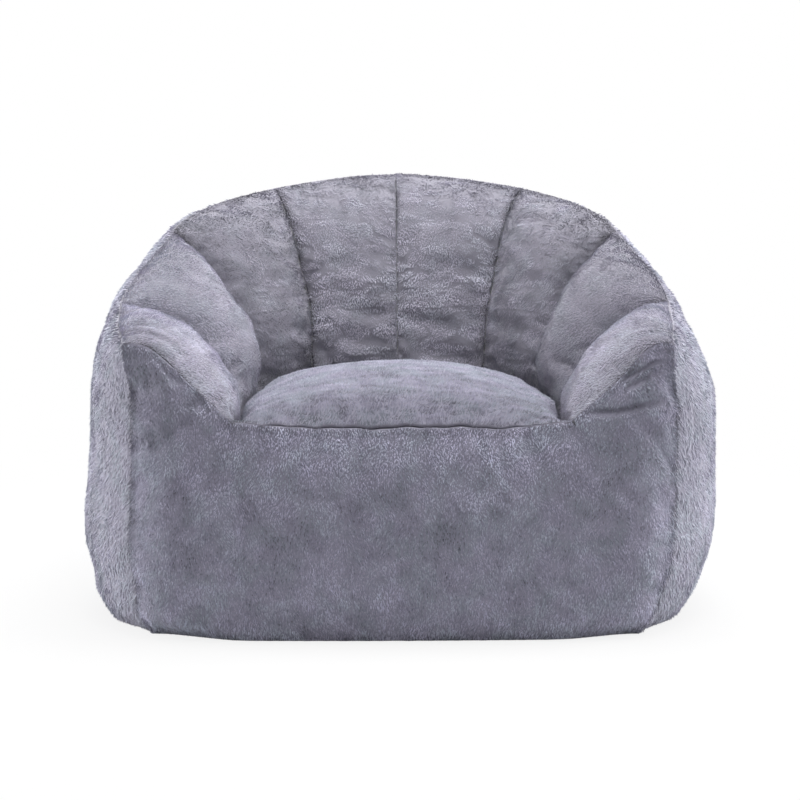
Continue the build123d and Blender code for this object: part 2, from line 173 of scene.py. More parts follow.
# %% Lights
for name, place, target, size, power in (
        ("overhead", (0.2, 0.1, 2.7), (0, -0.1, 0.4), 2.4, 110),
        ("left_side", (-2.4, -0.1, 0.72), (0, -0.1, 0.32), 1.5, 46),
        ("right_side", (2.4, -0.1, 0.90), (0, -0.1, 0.35), 1.5, 52),
        ("front_fill", (0.3, -3.2, 2.8), (0, -0.2, 0.35), 1.8, 4)):
    lamp = bpy.data.lights.new(name, "AREA")
    lamp.size, lamp.energy = size, power
    look_at(new_object(name, lamp), place, target)
    print(name, power, "W")

# %% [markdown]
# ## The fan of stations
# The tub is drawn on upright planes that turn from the left arm front (station 0) past the channel seams
# (1, 2, 3) to the middle of the back (4), and on to the right arm front (8). Each plane holds the same kind
# of section, so the chair needs only a few sizes for each seam. It could be sculpted as well, but then its
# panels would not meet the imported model. A point in a plane is a complex number: its real part is the reach
# from the middle line and its imaginary part the height, so a bend is one multiplication.

# %% Sizes in metres and the seam values
axis_y, front_y, inside_front_y = -0.097, -0.387, -0.3766
seat_height, seat_crown, arm_tip_height = 0.332, 0.062, 0.459
seat_half = 0.247
upper_belly_height, belly_height, heel_height = 0.340, 0.170, 0.070
heel_draw_in, floor_draw_in = 0.012, 0.056
seams = {
    "centre": (inside_front_y, axis_y + 0.37 * (front_y - axis_y), axis_y, axis_y, axis_y),
    "foot": (seat_half, 0.252, 0.250, 0.2416, 0.208),
    "belly": (0.441, 0.510, 0.512, 0.512, 0.512),
    "lean": (-0.002, 0.007, 0.007, 0.007, 0.007),
    "ridge": (0.432, 0.438, 0.388, 0.393, 0.400),
    "height": (arm_tip_height, 0.49985, 0.59875, 0.660025, 0.674),
    "knee_out": (0.54, 0.51, 0.45, 0.47, 0.50),
    "knee_up": (0.76, 0.65, 0.63, 0.66, 0.71),
}
seam_turn = (0.0, 4.0, 18.5, 54.0, 90.0)


def along_fan(row, u, past_middle):
    """Value at station u: a cubic through the seam values whose slope at each seam is the harmonic mean of
    the steps on both sides of it, so that it never overshoots."""
    row = np.append(row, past_middle)
    step = np.diff(row)
    both = step[:-1] * step[1:]
    mean = np.where(both > 0, 2 * both / np.where(both > 0, step[:-1] + step[1:], 1), 0)
    slope = np.append(step[0], mean)
    k = np.clip(u.astype(int), 0, 3)
    f = u - k
    climb = step[k] * (3 * f**2 - 2 * f**3)
    return row[k] + climb + slope[k] * (f - 2 * f**2 + f**3) + slope[k + 1] * (f**3 - f**2)


def seam_values(u):
    """Every seam value at stations u, the right half repeating the left."""
    left = np.minimum(u, 8 - u)
    return {name: along_fan(row, left, row[-2]) for name, row in seams.items()}


def stand(u, flat):
    """Point in space of a point in the upright plane of station u: the plane's centre, plus the reach along
    the way the plane is turned, plus the height. The arm fronts come forward to the front panel."""
    left = np.minimum(u, 8 - u)
    turn = along_fan(seam_turn, left, 180 - seam_turn[-2])
    turn = np.radians(np.where(u > 4, 180 - turn, turn))
    centre = along_fan(seams["centre"], left, seams["centre"][-2])
    forward = (inside_front_y - front_y) * np.clip(1 - left / 0.35, 0, 1)
    return np.stack([-flat.real * np.cos(turn), centre + flat.real * np.sin(turn) - forward, flat.imag], -1)


print("belly at stations 0 to 4", np.round(seam_values(np.arange(5.0))["belly"], 3).tolist())


# %% Runs of a section
def bend_of(start, heading, end):
    """Angle from the heading to the chord of an arc."""
    bend = np.angle((end - start) / heading)
    return np.where(np.abs(bend) < 1e-6, 1e-6, bend)


def straight(start, end):
    """A straight run: its length, and its point at a share."""
    return np.abs(end - start), lambda k: start + k * (end - start)


def arc(start, heading, end):
    """A run that leaves start along heading and bends evenly to end. Its length is the chord times the bend
    over its sine. Its point at a share has a chord that has turned by the same share of the bend, and that
    is as long as the sine of that angle."""
    bend = bend_of(start, heading, end)
    chord = np.abs(end - start) / np.sin(bend)
    return chord * bend, lambda k: start + chord * np.sin(bend * k) * heading * np.exp(1j * bend * k)


print("a quarter circle of radius 1 is", round(float(arc(1 + 0j, 1j, 1j)[0]), 4), "long")


# %% Faces of the sections
def chain(runs, t):
    """Point a share t along runs laid end to end, each a length and a function of its own share."""
    place = t * sum(length for length, _ in runs)
    point, begun = 0, 0
    for k, (length, at) in enumerate(runs):
        inside = (place >= begun) & ((place < begun + length) | (k == len(runs) - 1))
        point = np.where(inside, at(np.clip((place - begun) / length, 0, 1)), point)
        begun = begun + length
    return point


def seat_side(u, t):
    """Face of the channels in the plane of station u: straight from the foot to the knee, then an arc to
    the ridge."""
    v = seam_values(u)
    foot, ridge = v["foot"] + 1j * seat_height, v["ridge"] + 1j * v["height"]
    climb = ridge - foot
    knee = foot + v["knee_out"] * climb.real + 1j * v["knee_up"] * climb.imag
    heading = (knee - foot) / np.abs(knee - foot)
    return chain([straight(foot, knee), arc(knee, heading, ridge)], t)


def wall_side(u, t):
    """Outer face in the plane of station u: from the ridge down an arc to the upper belly, straight to the
    belly, then two arcs round the heel to the floor."""
    v = seam_values(u)
    ridge = v["ridge"] + 1j * v["height"]
    upper = v["belly"] - v["lean"] + 1j * upper_belly_height
    belly = v["belly"] + 1j * belly_height
    heel = v["belly"] - heel_draw_in + 1j * heel_height
    ground = v["belly"] - floor_draw_in + 0j
    turned = -1j * np.exp(2j * bend_of(belly, -1j, heel))
    length, up_to_ridge = arc(upper, 1j, ridge)
    down = (length, lambda k: up_to_ridge(1 - k))
    return chain([down, straight(upper, belly), arc(belly, -1j, heel), arc(heel, turned, ground)], t)


middle_station = np.array([4.0])
back_top = stand(middle_station, seat_side(middle_station, np.array([1.0])))
print("middle of the back", np.round(back_top, 4).tolist())

# %% [markdown]
# ## What every panel shares
# A panel is a grid of points. Its normals come from the differences along its two directions. A filled bag is
# never even: smooth noise gives it lumps and puckers without any pattern that repeats. Blender's own noise
# works point by point, so this one is written for whole arrays.


# %% Grid helpers
def unit(v):
    """The same directions with a length of one."""
    return v / np.maximum(np.linalg.norm(v, axis=-1, keepdims=True), 1e-12)


def grid_normals(grid):
    """Cross product of the differences across and along the grid."""
    return unit(np.cross(np.gradient(grid, axis=1), np.gradient(grid, axis=0)))


def ramp(value, start, end):
    """Nought at start, one at end, and straight between."""
    return np.clip((value - start) / (end - start), 0, 1)


def edge_distances(grid):
    """Lengths along the grid to its left, right, first and last edges."""
    across = np.linalg.norm(np.diff(grid, axis=1), axis=-1)
    along = np.linalg.norm(np.diff(grid, axis=0), axis=-1)
    left = np.pad(np.cumsum(across, 1), ((0, 0), (1, 0)))
    first = np.pad(np.cumsum(along, 0), ((1, 0), (0, 0)))
    return left, left[:, -1:] - left, first, first[-1:] - first


def inside_edges(grid, width, weights=(1, 1, 1, 1)):
    """Nought along the edges of a grid, rising to one within the given width. A lesser weight on one of the
    edges, in the order left, right, first, last, makes it a weaker one."""
    near = [weight * ramp(d, width, 0) for weight, d in zip(weights, edge_distances(grid))]
    return 1 - np.max(near, axis=0)


def soft_noise(points, size, seed):
    """Smooth random values from -1 to 1: random numbers at the corners of cells of the given size, mixed
    between the corners with a smooth step."""
    p = np.asarray(points) / size
    cell = np.floor(p).astype(np.int64)
    f = p - cell
    f = f * f * (3 - 2 * f)
    total = 0.0
    for corner in range(8):
        step = np.array([corner & 1, corner >> 1 & 1, corner >> 2 & 1])
        key = ((cell + step) * np.array([73856093, 19349663, 83492791])).sum(-1) ^ (seed * 2654435761)
        key = (key ^ (key >> 13)) * 1274126177 & 0x7FFFFFFF
        key = (key ^ (key >> 15)) & 0xFFFF
        total = total + np.prod(np.where(step == 1, f, 1 - f), axis=-1) * (key / 32767.5 - 1)
    return total


print("noise at three points", np.round(soft_noise(np.eye(3), 0.3, 1), 3).tolist())

# %% [markdown]
# ## Seams
# Where two panels are sewn together, their edges are drawn inwards to one line: the corner between them,
# moved back along both normals. A bevel would round the edge but not draw it in. Both panels use the same
# pull, so the seam closes, and each rolls over towards it. At the arm tips and the seat corners three panels
# meet, and the pulls of their edges run into one pull for the corner.


# %% Pulls at the corners
def face_normal(side, u, t):
    """Normal of a side at stations u and shares t, from small steps across it and along it."""
    at = lambda du, dt: stand(np.clip(u + du, 0, 8), side(np.clip(u + du, 0, 8), np.clip(t + dt, 0, 1)))
    return unit(np.cross(at(1e-3, 0) - at(-1e-3, 0), at(0, 1e-3) - at(0, -1e-3)))


forwards, upwards = np.array([0, -1.0, 0]), np.array([0, 0, 1.0])
ends = np.array([0.0, 8.0])
arm_depth, arm_lift, corner_depth, corner_lift = 0.011, 0.005, 0.009, 0.016
tip_pull = forwards + face_normal(seat_side, ends, ends * 0 + 1) + face_normal(wall_side, ends, ends * 0)
tip_pull = -arm_depth * tip_pull + arm_lift * upwards
corner_pull = forwards + face_normal(seat_side, ends, ends * 0) + upwards
corner_pull = -corner_depth * corner_pull + corner_lift * upwards
heel_pull = np.array([[0.016, 0.042, 0], [-0.020, 0.030, 0]])
print("arm tip pull", np.round(tip_pull, 4).tolist())

# %% Pulls along the seams
ridge_depth, side_depth, seat_front_depth, foot_depth, floor_depth = 0.0045, 0.023, 0.008, 0.026, 0.003
corner_reach, heel_reach = 0.09, 0.16


def ease(pull, distance, corner, reach=corner_reach):
    """The pull of an edge, turned into the pull of the corner near it by a smooth step of the closeness."""
    near = ramp(distance, reach, 0)[..., None]
    return pull + (corner - pull) * near**2 * (3 - 2 * near)


def between(pull, start, end, corners, reach=corner_reach):
    """The pull of an edge, eased into its two corners; start and end are the distances to them."""
    return ease(ease(pull, start, corners[0], reach), end, corners[1], reach)


def ridge_pull(u):
    """Pull of the ridge seam between the channels and the outer wall."""
    pull = -ridge_depth * (face_normal(seat_side, u, u * 0 + 1) + face_normal(wall_side, u, u * 0))
    return between(pull, u * 0.18, (8 - u) * 0.18, tip_pull)


def arm_pull(side, t):
    """Pull of the seam between an arm front and its first channel; side is 0 on the left, 1 on the right."""
    pull = -arm_depth * (forwards + face_normal(seat_side, t * 0 + ends[side], t)) + arm_lift * upwards
    return between(pull, t * 0.23, (1 - t) * 0.23, (corner_pull[side], tip_pull[side]))


def front_side_pull(side, z):
    """Pull of the seam between the front panel and the outer wall at height z."""
    t = np.linspace(0, 1, 400)
    share = np.interp(-z, -wall_side(t * 0, t).imag, t)
    pull = -side_depth * (forwards + face_normal(wall_side, z * 0 + ends[side], share))
    return between(pull, arm_tip_height - z, z, (tip_pull[side], heel_pull[side]))


def seat_front_pull(x):
    """Pull of the seam between the seat and the front panel, whose line wavers up and down."""
    waver = 0.0011 * (np.sin(29 * x) + np.sin(71 * x + 1.3) + 0.6 * np.sin(160 * x))
    pull = -seat_front_depth * (forwards + upwards) + waver[:, None] * upwards
    return between(pull, x + seat_half, seat_half - x, corner_pull)


def floor_pull(x, half):
    """Pull of the front panel's lower edge, which rolls under the chair."""
    pull = np.broadcast_to(np.array([0, floor_depth, 0]), (len(x), 3))
    return between(pull, x + half, half - x, heel_pull, heel_reach)


def foot_pull(u):
    """Pull of the seam between the seat and the foot of the channels, straight down."""
    pull = np.broadcast_to(-foot_depth * upwards, (len(u), 3))
    return between(pull, u * 0.17, (8 - u) * 0.17, corner_pull)


print("seat front pull in the middle", np.round(seat_front_pull(np.zeros(1)), 4).tolist())

# %% Drawing the edges in
ridge_roll, arm_roll, side_roll, seat_roll, foot_roll, floor_roll = 0.034, 0.062, 0.110, 0.055, 0.034, 0.055


def draw_in(grid, edges):
    """Moves the edges of a grid by their pulls, which fade with the square of the closeness to the edge.
    Edges are left, right, first and last, each a pull, a radius and whether it shares its corners: where two
    such edges meet, the corner's pull is taken off once."""
    fades, moved = [], grid.copy()
    for k, (distance, (pull, radius, shares)) in enumerate(zip(edge_distances(grid), edges)):
        fade = ramp(distance, radius, 0)[..., None] ** 2
        moved += fade * (pull[:, None] if k < 2 else pull[None])
        fades.append(fade if shares else None)
    for a, column in ((0, 0), (1, -1)):
        for b in (2, 3):
            if fades[a] is not None and fades[b] is not None:
                moved -= fades[a] * fades[b] * edges[b][0][column]
    return moved


# %% [markdown]
# ## Panels
# Channels first: from seam to seam each one swells like a pillow, and it creases across its lower end, where
# the seat pushes into it. The channels beside the arms are the fullest. The two in the middle run into each
# other, with only a shallow seam between them. The first and last have soft folds behind the arm front. A
# simulation could blow up flat patterns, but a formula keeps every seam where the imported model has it.

# %% Channels
swell_of = (0.034, 0.058, 0.026, 0.015, 0.015, 0.026, 0.058, 0.034)
round_of = (2.2, 2.3, 2.2, 2.2, 2.2, 2.2, 2.3, 2.2)
seam_depth = (0, 0.008, 0.008, 0.005, 0.001, 0.005, 0.008, 0.008, 0)
seam_width, even_edge = 0.022, 0.03
smooth_channels = (1, 2, 7, 8)
arm_folds = ((0.006, 0.024, 0.012, 0.006, 0.45), (0.007, 0.052, 0.010, 0.007, 0.55))


def channel_grid(number):
    """Face of one channel on a grid, swollen along the normal: the swell falls to nothing at the seams as
    one minus a power of the distance from the middle, and along the channel as a sine. A fold behind the arm
    front is a bell curve with a depth, a distance, a slant, a width and the share where it starts."""
    rows, columns = 91, 61
    t, s = np.meshgrid(np.linspace(0, 1, rows), np.linspace(0, 1, columns), indexing="ij")
    u = number - 1 + s
    face = stand(u, seat_side(u, t))
    left, right, foot, _ = edge_distances(face)
    away = np.abs(2 * s - 1)
    if number in (4, 5):
        away = np.where((s > 0.5) == (number == 4), 0.55 * away, away)
    across = 1 - away ** round_of[number - 1]
    swell = swell_of[number - 1] * np.sin(np.pi * t**0.85) ** 0.7 * across
    creases = soft_noise(np.stack([s * 2.2 + number * 9, foot / 0.026 + 0.8 * s, 0 * s], -1), 1.0, 5)
    low = np.clip(1.25 - foot / 0.15, 0, 1)
    free = inside_edges(face, even_edge)
    ruffled = 0.0 if number in smooth_channels else 0.0030
    swell = swell + free * ((ruffled + 0.005 * low) * creases + 0.004 * soft_noise(face, 0.06, 3))
    if number in (1, 8):
        behind = left if number == 1 else right
        for deep, gap, slant, wide, start in arm_folds:
            bell = np.exp(-((behind - gap - slant * t) / wide) ** 2)
            swell = swell - deep * bell * ramp(t, start, start + 0.3) * free
    normals = grid_normals(face)
    face = face + swell[..., None] * normals
    held = np.sin(np.pi * t[:, :1]) ** 0.5
    edge = lambda k, column: (-seam_depth[k] * held * normals[:, column], seam_width, False)
    return draw_in(face, (
        (arm_pull(0, t[:, 0]), arm_roll, True) if number == 1 else edge(number - 1, 0),
        (arm_pull(1, t[:, -1]), arm_roll, True) if number == 8 else edge(number, -1),
        (foot_pull(u[0]), foot_roll, True),
        (ridge_pull(u[-1]), ridge_roll, True),
    ))


channels = {k: channel_grid(k) for k in range(1, 9)}
print("channels", {k: grid.shape[:2] for k, grid in channels.items()})

# %% [markdown]
# The front panel is flat cloth over a full bag, so it bows forward in the middle. Its top follows the seat
# seam and climbs both arm fronts; each column of the grid runs from the floor up to that line, because an
# outline cut out of a larger sheet would leave ragged faces along the seam. Three creases run out of the
# right arm, where the cloth is slack. They are bell curves across short lines.

# %% Creases of the front
arm_creases = (
    (1.0, (0.250, 0.347), (0.420, 0.362), 0.005),
    (1.0, (0.315, 0.398), (0.425, 0.432), 0.005),
    (0.8, (0.325, 0.385), (0.415, 0.412), 0.006),
)


def crease(x, z, start, end, width):
    """One along the line from start to end, falling off on both sides as a bell curve and at its ends."""
    run = np.subtract(end, start)
    share = ((x - start[0]) * run[0] + (z - start[1]) * run[1]) / (run @ run)
    aside = ((z - start[1]) * run[0] - (x - start[0]) * run[1]) / np.linalg.norm(run)
    return np.exp(-(aside / width) ** 2) * ramp(share, 0, 0.15) * ramp(share, 1, 0.7)


# %% Grid of the front
def front_grid():
    """Columns at the same share of the half width at every height, up to the seat seam and the arm fronts,
    bowed forward by parabolas whose height is least at the floor and at the seat and greatest at the belly.
    Returns the grid and the trim of the pile, which is pressed in a crease, where the trim also darkens it as
    painted shade."""
    rows, columns = 91, 181
    t = np.linspace(0, 1, 400)
    arm, side = seat_side(t * 0, t), wall_side(t * 0, t)[::-1]
    spread = np.linspace(-1, 1, columns)
    spread = np.sign(spread) * (1 - (1 - np.abs(spread)) ** 1.25)
    half = lambda z: np.interp(z, side.imag, side.real)
    top = np.full(columns, seat_height)
    for _ in range(6):
        top = np.interp(np.abs(spread) * half(top), np.append(0, arm.real), np.append(seat_height, arm.imag))
    z = top * np.linspace(0, 1, rows)[:, None]
    x = spread * half(z)
    below = 0.010 + 0.018 * np.sin(np.pi / 2 * np.clip(z / belly_height, 0, 1))
    fall = ramp(z, belly_height, seat_height)
    crown = np.where(z < belly_height, below, 0.001 + 0.027 * np.cos(np.pi / 2 * fall) ** 2)
    face = np.stack([x, front_y - crown * (1 - spread**2), z], -1)
    to_top = edge_distances(face)[3]
    puckers = soft_noise(np.stack([x / 0.034, z / 0.10, 0 * x], -1), 1.0, 8) * np.exp(-to_top / 0.030)
    wavy = z + 0.003 * np.sin(x * 45)
    fold = np.max([deep * crease(x, wavy, *line) for deep, *line in arm_creases], axis=0)
    swell = 0.003 * puckers - 0.008 * fold + 0.005 * soft_noise(face * np.array([1, 1, 0.8]), 0.13, 21)
    swell = swell + 0.002 * soft_noise(face, 0.05, 22)
    face = face + (swell * inside_edges(face, even_edge))[..., None] * grid_normals(face)
    edge_x = x[-1]
    share = np.interp(np.abs(edge_x), arm.real, t)
    arm_side = np.where((edge_x < 0)[:, None], arm_pull(0, share), arm_pull(1, share))
    by_seat = seat_front_pull(np.clip(edge_x, -seat_half, seat_half))
    top_pull = np.where((np.abs(edge_x) < seat_half)[:, None], by_seat, arm_side)
    return draw_in(face, (
        (front_side_pull(0, z[:, 0]), side_roll, True),
        (front_side_pull(1, z[:, -1]), side_roll, True),
        (floor_pull(x[0], x[0].max()), floor_roll, True),
        (top_pull, arm_roll, True),
    )), 1 - 0.55 * fold


# The trim shortens the pile in the creases and darkens it there with painted shade.
front, front_trim_and_shade = front_grid()
print("front panel", front.shape[:2], "lowest", round(front[..., 2].min(), 4))

# %% [markdown]
# The seat is a crowned cushion between four edges: the front seam, two sides and the back curve where the
# channels stand on it. A disc of rings would pinch in the middle, so it is a patch, which mixes opposite
# edges and takes off what the corners count twice.

# %% Outline and crown of the seat
crown_at, crown_share = (0, 0.18, 0.45, 0.75, 1.02), (0.06, 0.72, 0.97, 0.76, 0.42)
seat_depth, crown_half, seat_gap = 0.498, 0.257, 0.0006


def seat_plan(s, t):
    """Flat patch inside the fan: a straight front edge, sides from station 0 to 1 and from 8 to 7, and the
    back from 1 to 7, a small gap inside the foot of the channels."""
    edge = lambda u: stand(u, seam_values(u)["foot"] - seat_gap + 0j)[..., :2]
    back, left, right = edge(1 + 6 * s), edge(t), edge(8 - t)
    x = left[0, 0] + (right[0, 0] - left[0, 0]) * s
    near = np.stack([x, x * 0 + front_y], -1)
    S, T = s[None, :, None], t[:, None, None]
    plan = (1 - T) * near[None] + T * back[None] + (1 - S) * left[:, None] + S * right[:, None]
    twice = (1 - S) * (1 - T) * near[0] + S * (1 - T) * near[-1] + (1 - S) * T * back[0] + S * T * back[-1]
    return plan - twice


def seat_rise(x, y):
    """Height of the seat above its seam: a curve from front to back through the crown, and across it one
    minus a power of the distance from the middle."""
    share = np.clip((y - front_y) / seat_depth, 0, crown_at[-1])
    curve = np.polyfit(crown_at, crown_share, 4)
    return seat_crown * np.polyval(curve, share) * (1 - np.abs(x / crown_half) ** 2.1)


print("crown at the middle of the seat", round(float(seat_rise(0, front_y + seat_depth / 2)), 4))


# %% Grid of the seat
def seat_grid():
    """The seat's patch, raised by its crown, which falls to the seam close to the edges."""
    s, t = np.linspace(0, 1, 101), np.linspace(0, 1, 101)
    plan = seat_plan(s, t)
    x, y = plan[..., 0], plan[..., 1]
    left, right, _, back = edge_distances(np.dstack([plan, 0 * x]))
    roll = lambda d, r: 1 - ramp(d, r, 0) ** 2
    z = seat_height + seat_rise(x, y) * roll(back, 0.045) * roll(np.minimum(left, right), 0.03)
    face = np.dstack([x, y, z])
    swell = 0.003 * soft_noise(face, 0.10, 31) + 0.002 * soft_noise(face, 0.045, 32) - 0.003
    face = face + (swell * inside_edges(face, even_edge))[..., None] * grid_normals(face)
    return draw_in(face, (
        (foot_pull(t), foot_roll, True),
        (foot_pull(8 - t), foot_roll, True),
        (seat_front_pull(x[0]), seat_roll, True),
        (foot_pull(1 + 6 * s), foot_roll, True),
    ))


seat = seat_grid()
print("seat", seat.shape[:2], "top", round(seat[..., 2].max(), 4))

# %% [markdown]
# The outer wall is two panels, sewn together in the middle of the back. A slot low in the back leaves room
# for the zip, and the cloth turns in along its edges. A Boolean cut would leave uneven faces round the slot,
# so the rows of the grid fall on its edges and the faces between them are left out.

# %% Outer walls
zip_low, zip_high, station_length = 0.1046, 0.1326, 0.319
slot_half, parked_half, shorn = 1, 1.14, 0.34


def wall_grid(first):
    """Outer wall from the ridge to the floor over half of the fan, the mask of its faces, the trim of its
    pile and where it may move: rows fall on the edges of the zip slot, and the faces in it are left out. The
    pile is shorn beside the slot, and where the pull lies when the zip is open."""
    u = first + 4 * np.linspace(0, 1, 121)
    fine = np.linspace(0, 1, 2000)
    t_high, t_low = np.interp((-zip_high, -zip_low), -wall_side(np.full(2000, 4.0), fine).imag, fine)
    in_slot, under_slot = np.linspace(t_high, t_low, 7)[1:], np.linspace(t_low, 1, 25)[1:]
    t = np.concatenate([np.linspace(0, t_high, 71), in_slot, under_slot])
    T, U = np.meshgrid(t, u, indexing="ij")
    face = stand(U, wall_side(U, T))
    mid_t, mid_u = (t[1:] + t[:-1]) / 2, (u[1:] + u[:-1]) / 2
    keep = ~(((mid_t > t_high) & (mid_t < t_low))[:, None] & (np.abs(mid_u - 4) < slot_half)[None])
    beside = np.maximum(np.abs(face[..., 2] - (zip_low + zip_high) / 2) - (zip_high - zip_low) / 2, 0)
    slot, parked = (np.hypot(beside, np.maximum(np.abs(U - 4) - reach, 0) * station_length)
                    for reach in (slot_half, parked_half))
    calm = np.clip((parked - 0.004) / 0.05, 0, 1)
    lumps = soft_noise(face, 0.11, 41) * inside_edges(face, 0.04) * calm
    drawn = -0.004 * np.exp(-(slot / 0.006) ** 1.2)
    normals = grid_normals(face)
    face = face + (drawn + 0.0035 * lumps)[..., None] * normals
    held = np.sin(np.pi * t[:, None] ** 0.7) ** 0.5
    seam = (-0.006 * held * normals[:, -1 if first == 0 else 0], 0.018, False)
    front_edge = (front_side_pull(int(first > 0), wall_side(t * 0, t).imag), side_roll, True)
    near_front = np.minimum(u, 8 - u) * 0.29
    under = ease(np.zeros((len(u), 3)), near_front, heel_pull[int(first > 0)], heel_reach)
    edges = (front_edge, seam) if first == 0 else (seam, front_edge)
    trim = np.clip(shorn + (parked - 0.003) / 0.02, shorn, 1)
    face = draw_in(face, (*edges, (ridge_pull(u), ridge_roll, True), (under, floor_roll, True)))
    return face, keep, trim, calm


walls = {"left": wall_grid(0), "right": wall_grid(4)}
print("walls", {name: wall[0].shape[:2] for name, wall in walls.items()})

# %% [markdown]
# ## A used chair stands uneven
# The filling moves about, so the real chair leans a little: its left shoulder is fuller than its right, the
# left side is flatter half way up, the two middle channels are drawn together and the back stands a little
# higher. A lattice could bend it, but a few smooth steps say in millimetres what moves. All panels take the
# same movement, so the seams stay closed. It leaves the zip alone.

# %% Lean of the filling
leans = (
    (-0.009, -1, (0.05, 0.32), (0.44, 0.54), (0.60, 0.69)),
    (0.010, -1, (0.25, 0.42), (0.10, 0.30), (0.36, 0.50)),
    (-0.014, -1, (0.20, 0.36), (-0.20, -0.10), (0.02, 0.09)),
    (-0.014, 1, (0.30, 0.44), (0.34, 0.44), (0.46, 0.54)),
)


def settle(grid):
    """Movements of a few millimetres that fade in and out over heights and widths by smooth steps. A lean is
    a movement in x, the side it is on, where it grows away from the middle, and where it grows and fades with
    the height."""
    x, y, z = grid[..., 0], grid[..., 1], grid[..., 2]
    step = lambda v, a, b: ramp(v, a, b) ** 2 * (3 - 2 * ramp(v, a, b))
    aside = 0.0
    for move, side, beside, grows, fades in leans:
        aside = aside + move * step(side * x, *beside) * step(z, *grows) * (1 - step(z, *fades))
    out = np.abs(x)
    between_seams = step(out, 0.03, 0.17) * (1 - step(out, 0.24, 0.38)) * step(y, 0.0, 0.12)
    aside = aside + np.where(x < 0, 0.019, -0.011) * between_seams * step(z, 0.33, 0.46)
    slimmer = 0.012 * (1 - step(z, 0.36, 0.50)) + 0.014 * step(z, 0.0, 0.03) * (1 - step(z, 0.05, 0.12))
    aside = aside - x * slimmer * step(out, 0.30, 0.45)
    return grid + np.stack([aside, 0 * x, 0.012 * step(z, 0.645, 0.676)], -1)


panels = {f"plush_channel_{k}": settle(grid) for k, grid in channels.items()}
panels |= {"plush_front": settle(front), "plush_seat": settle(seat)}
panels |= {f"plush_wall_{side}": settle(wall[0]) for side, wall in walls.items()}
base_edge = [panels["plush_front"][0]]
base_edge += [panels[f"plush_wall_{side}"][-1, ::-1] for side in ("right", "left")]
print("highest", round(max(grid[..., 2].max() for grid in panels.values()), 4))

# %% [markdown]
# ## The cloth settles
# Cloth is never as smooth as a formula. All panels are copied at half their fineness into one loose mesh that
# is pinned along the seams, cut a little larger than the frame it is sewn into, and blown up by a light
# pressure, as the filling does. A short cloth simulation finds the puckers. How far a point may move is
# capped, and the movement is added to the fine panels.

# %% Cloth simulation
frames, most_of_channel = 20, 0.008
most = {"plush_front": 0.007, "plush_seat": 0.003, "plush_wall_left": 0.004, "plush_wall_right": 0.004}


def quad_faces(shape):
    """Corners of the faces between the points of a grid, in rows."""
    index = np.arange(shape[0] * shape[1]).reshape(shape)
    return np.stack([index[:-1, :-1], index[:-1, 1:], index[1:, 1:], index[1:, :-1]], -1).reshape(-1, 4)


def rim_of(grid):
    """True along the edges of a grid, one value for each point."""
    return np.pad(np.zeros((grid.shape[0] - 2, grid.shape[1] - 2), bool), 1, constant_values=True).ravel()


def blow_up(grids):
    """Movement of the points of all grids after a cloth simulation, pinned along their edges."""
    begun = np.cumsum([0] + [grid.shape[0] * grid.shape[1] for grid in grids])
    points = np.concatenate([grid.reshape(-1, 3) for grid in grids])
    faces = np.concatenate([first + quad_faces(grid.shape[:2]) for first, grid in zip(begun, grids)])
    mesh = bpy.data.meshes.new("settling")
    mesh.from_pydata(points.tolist(), [], faces.tolist())
    cloth = new_object("settling", mesh)
    sewn = cloth.vertex_groups.new(name="sewn")
    sewn.add(np.flatnonzero(np.concatenate([rim_of(grid) for grid in grids])).tolist(), 1.0, "REPLACE")
    sheet = cloth.modifiers.new("cloth", "CLOTH")
    rules = sheet.settings
    rules.quality, rules.mass, rules.air_damping = 6, 0.3, 2.0
    rules.tension_stiffness = rules.compression_stiffness = 12
    rules.shear_stiffness, rules.bending_stiffness = 4, 0.6
    rules.vertex_group_mass, rules.pin_stiffness = "sewn", 50
    rules.shrink_min = rules.shrink_max = -0.022
    rules.use_pressure, rules.uniform_pressure_force = True, 4.0
    rules.effector_weights.gravity = 0
    sheet.collision_settings.use_collision = False
    sheet.point_cache.frame_start, sheet.point_cache.frame_end = 1, frames
    for number in range(1, frames + 1):
        bpy.context.scene.frame_set(number)
    settled = cloth.evaluated_get(bpy.context.evaluated_depsgraph_get())
    moved = np.empty(points.size)
    settled.data.vertices.foreach_get("co", moved)
    bpy.context.scene.frame_set(1)
    bpy.data.objects.remove(cloth)
    bpy.data.meshes.remove(mesh)
    moved = moved.reshape(-1, 3) - points
    return [moved[a:b].reshape(grid.shape) for a, b, grid in zip(begun, begun[1:], grids)]


# %% Movement of the fine panels
def refine(coarse, shape):
    """Values of every second point of a grid, and between them the mean of their neighbours."""
    fine = np.zeros((*shape, 3))
    fine[::2, ::2] = coarse
    fine[1::2, ::2] = (fine[:-1:2, ::2] + fine[2::2, ::2]) / 2
    fine[:, 1::2] = (fine[:, :-1:2] + fine[:, 2::2]) / 2
    return fine


movements = blow_up([grid[::2, ::2] for grid in panels.values()])
for (name, grid), moved in zip(panels.items(), movements):
    cap = most.get(name, most_of_channel)
    size = np.linalg.norm(moved, axis=-1, keepdims=True)
    moved = moved * np.where(size > 0, cap * np.tanh(size / cap) / np.maximum(size, 1e-9), 0)
    moved = refine(moved, grid.shape[:2])
    side = name.removeprefix("plush_wall_")
    panels[name] = grid + moved * (walls[side][3][..., None] if side in walls else 1)
    print(name, "settled by up to", round(float(size.max()), 4), "m, kept below", cap)

# %% [markdown]
# ## Plush
# The plush is knitted cloth with a short pile. Its backing is a closed shell under the surface, and the pile
# is thousands of small tufts, each a slim pointed spike that leans with the nap. Hair strands would be lost
# when the part is exported, and a bump map would leave the outline smooth, so the tufts are real faces.

# %% Backing shell
backing_depth, backing_edge = 0.0030, 0.012


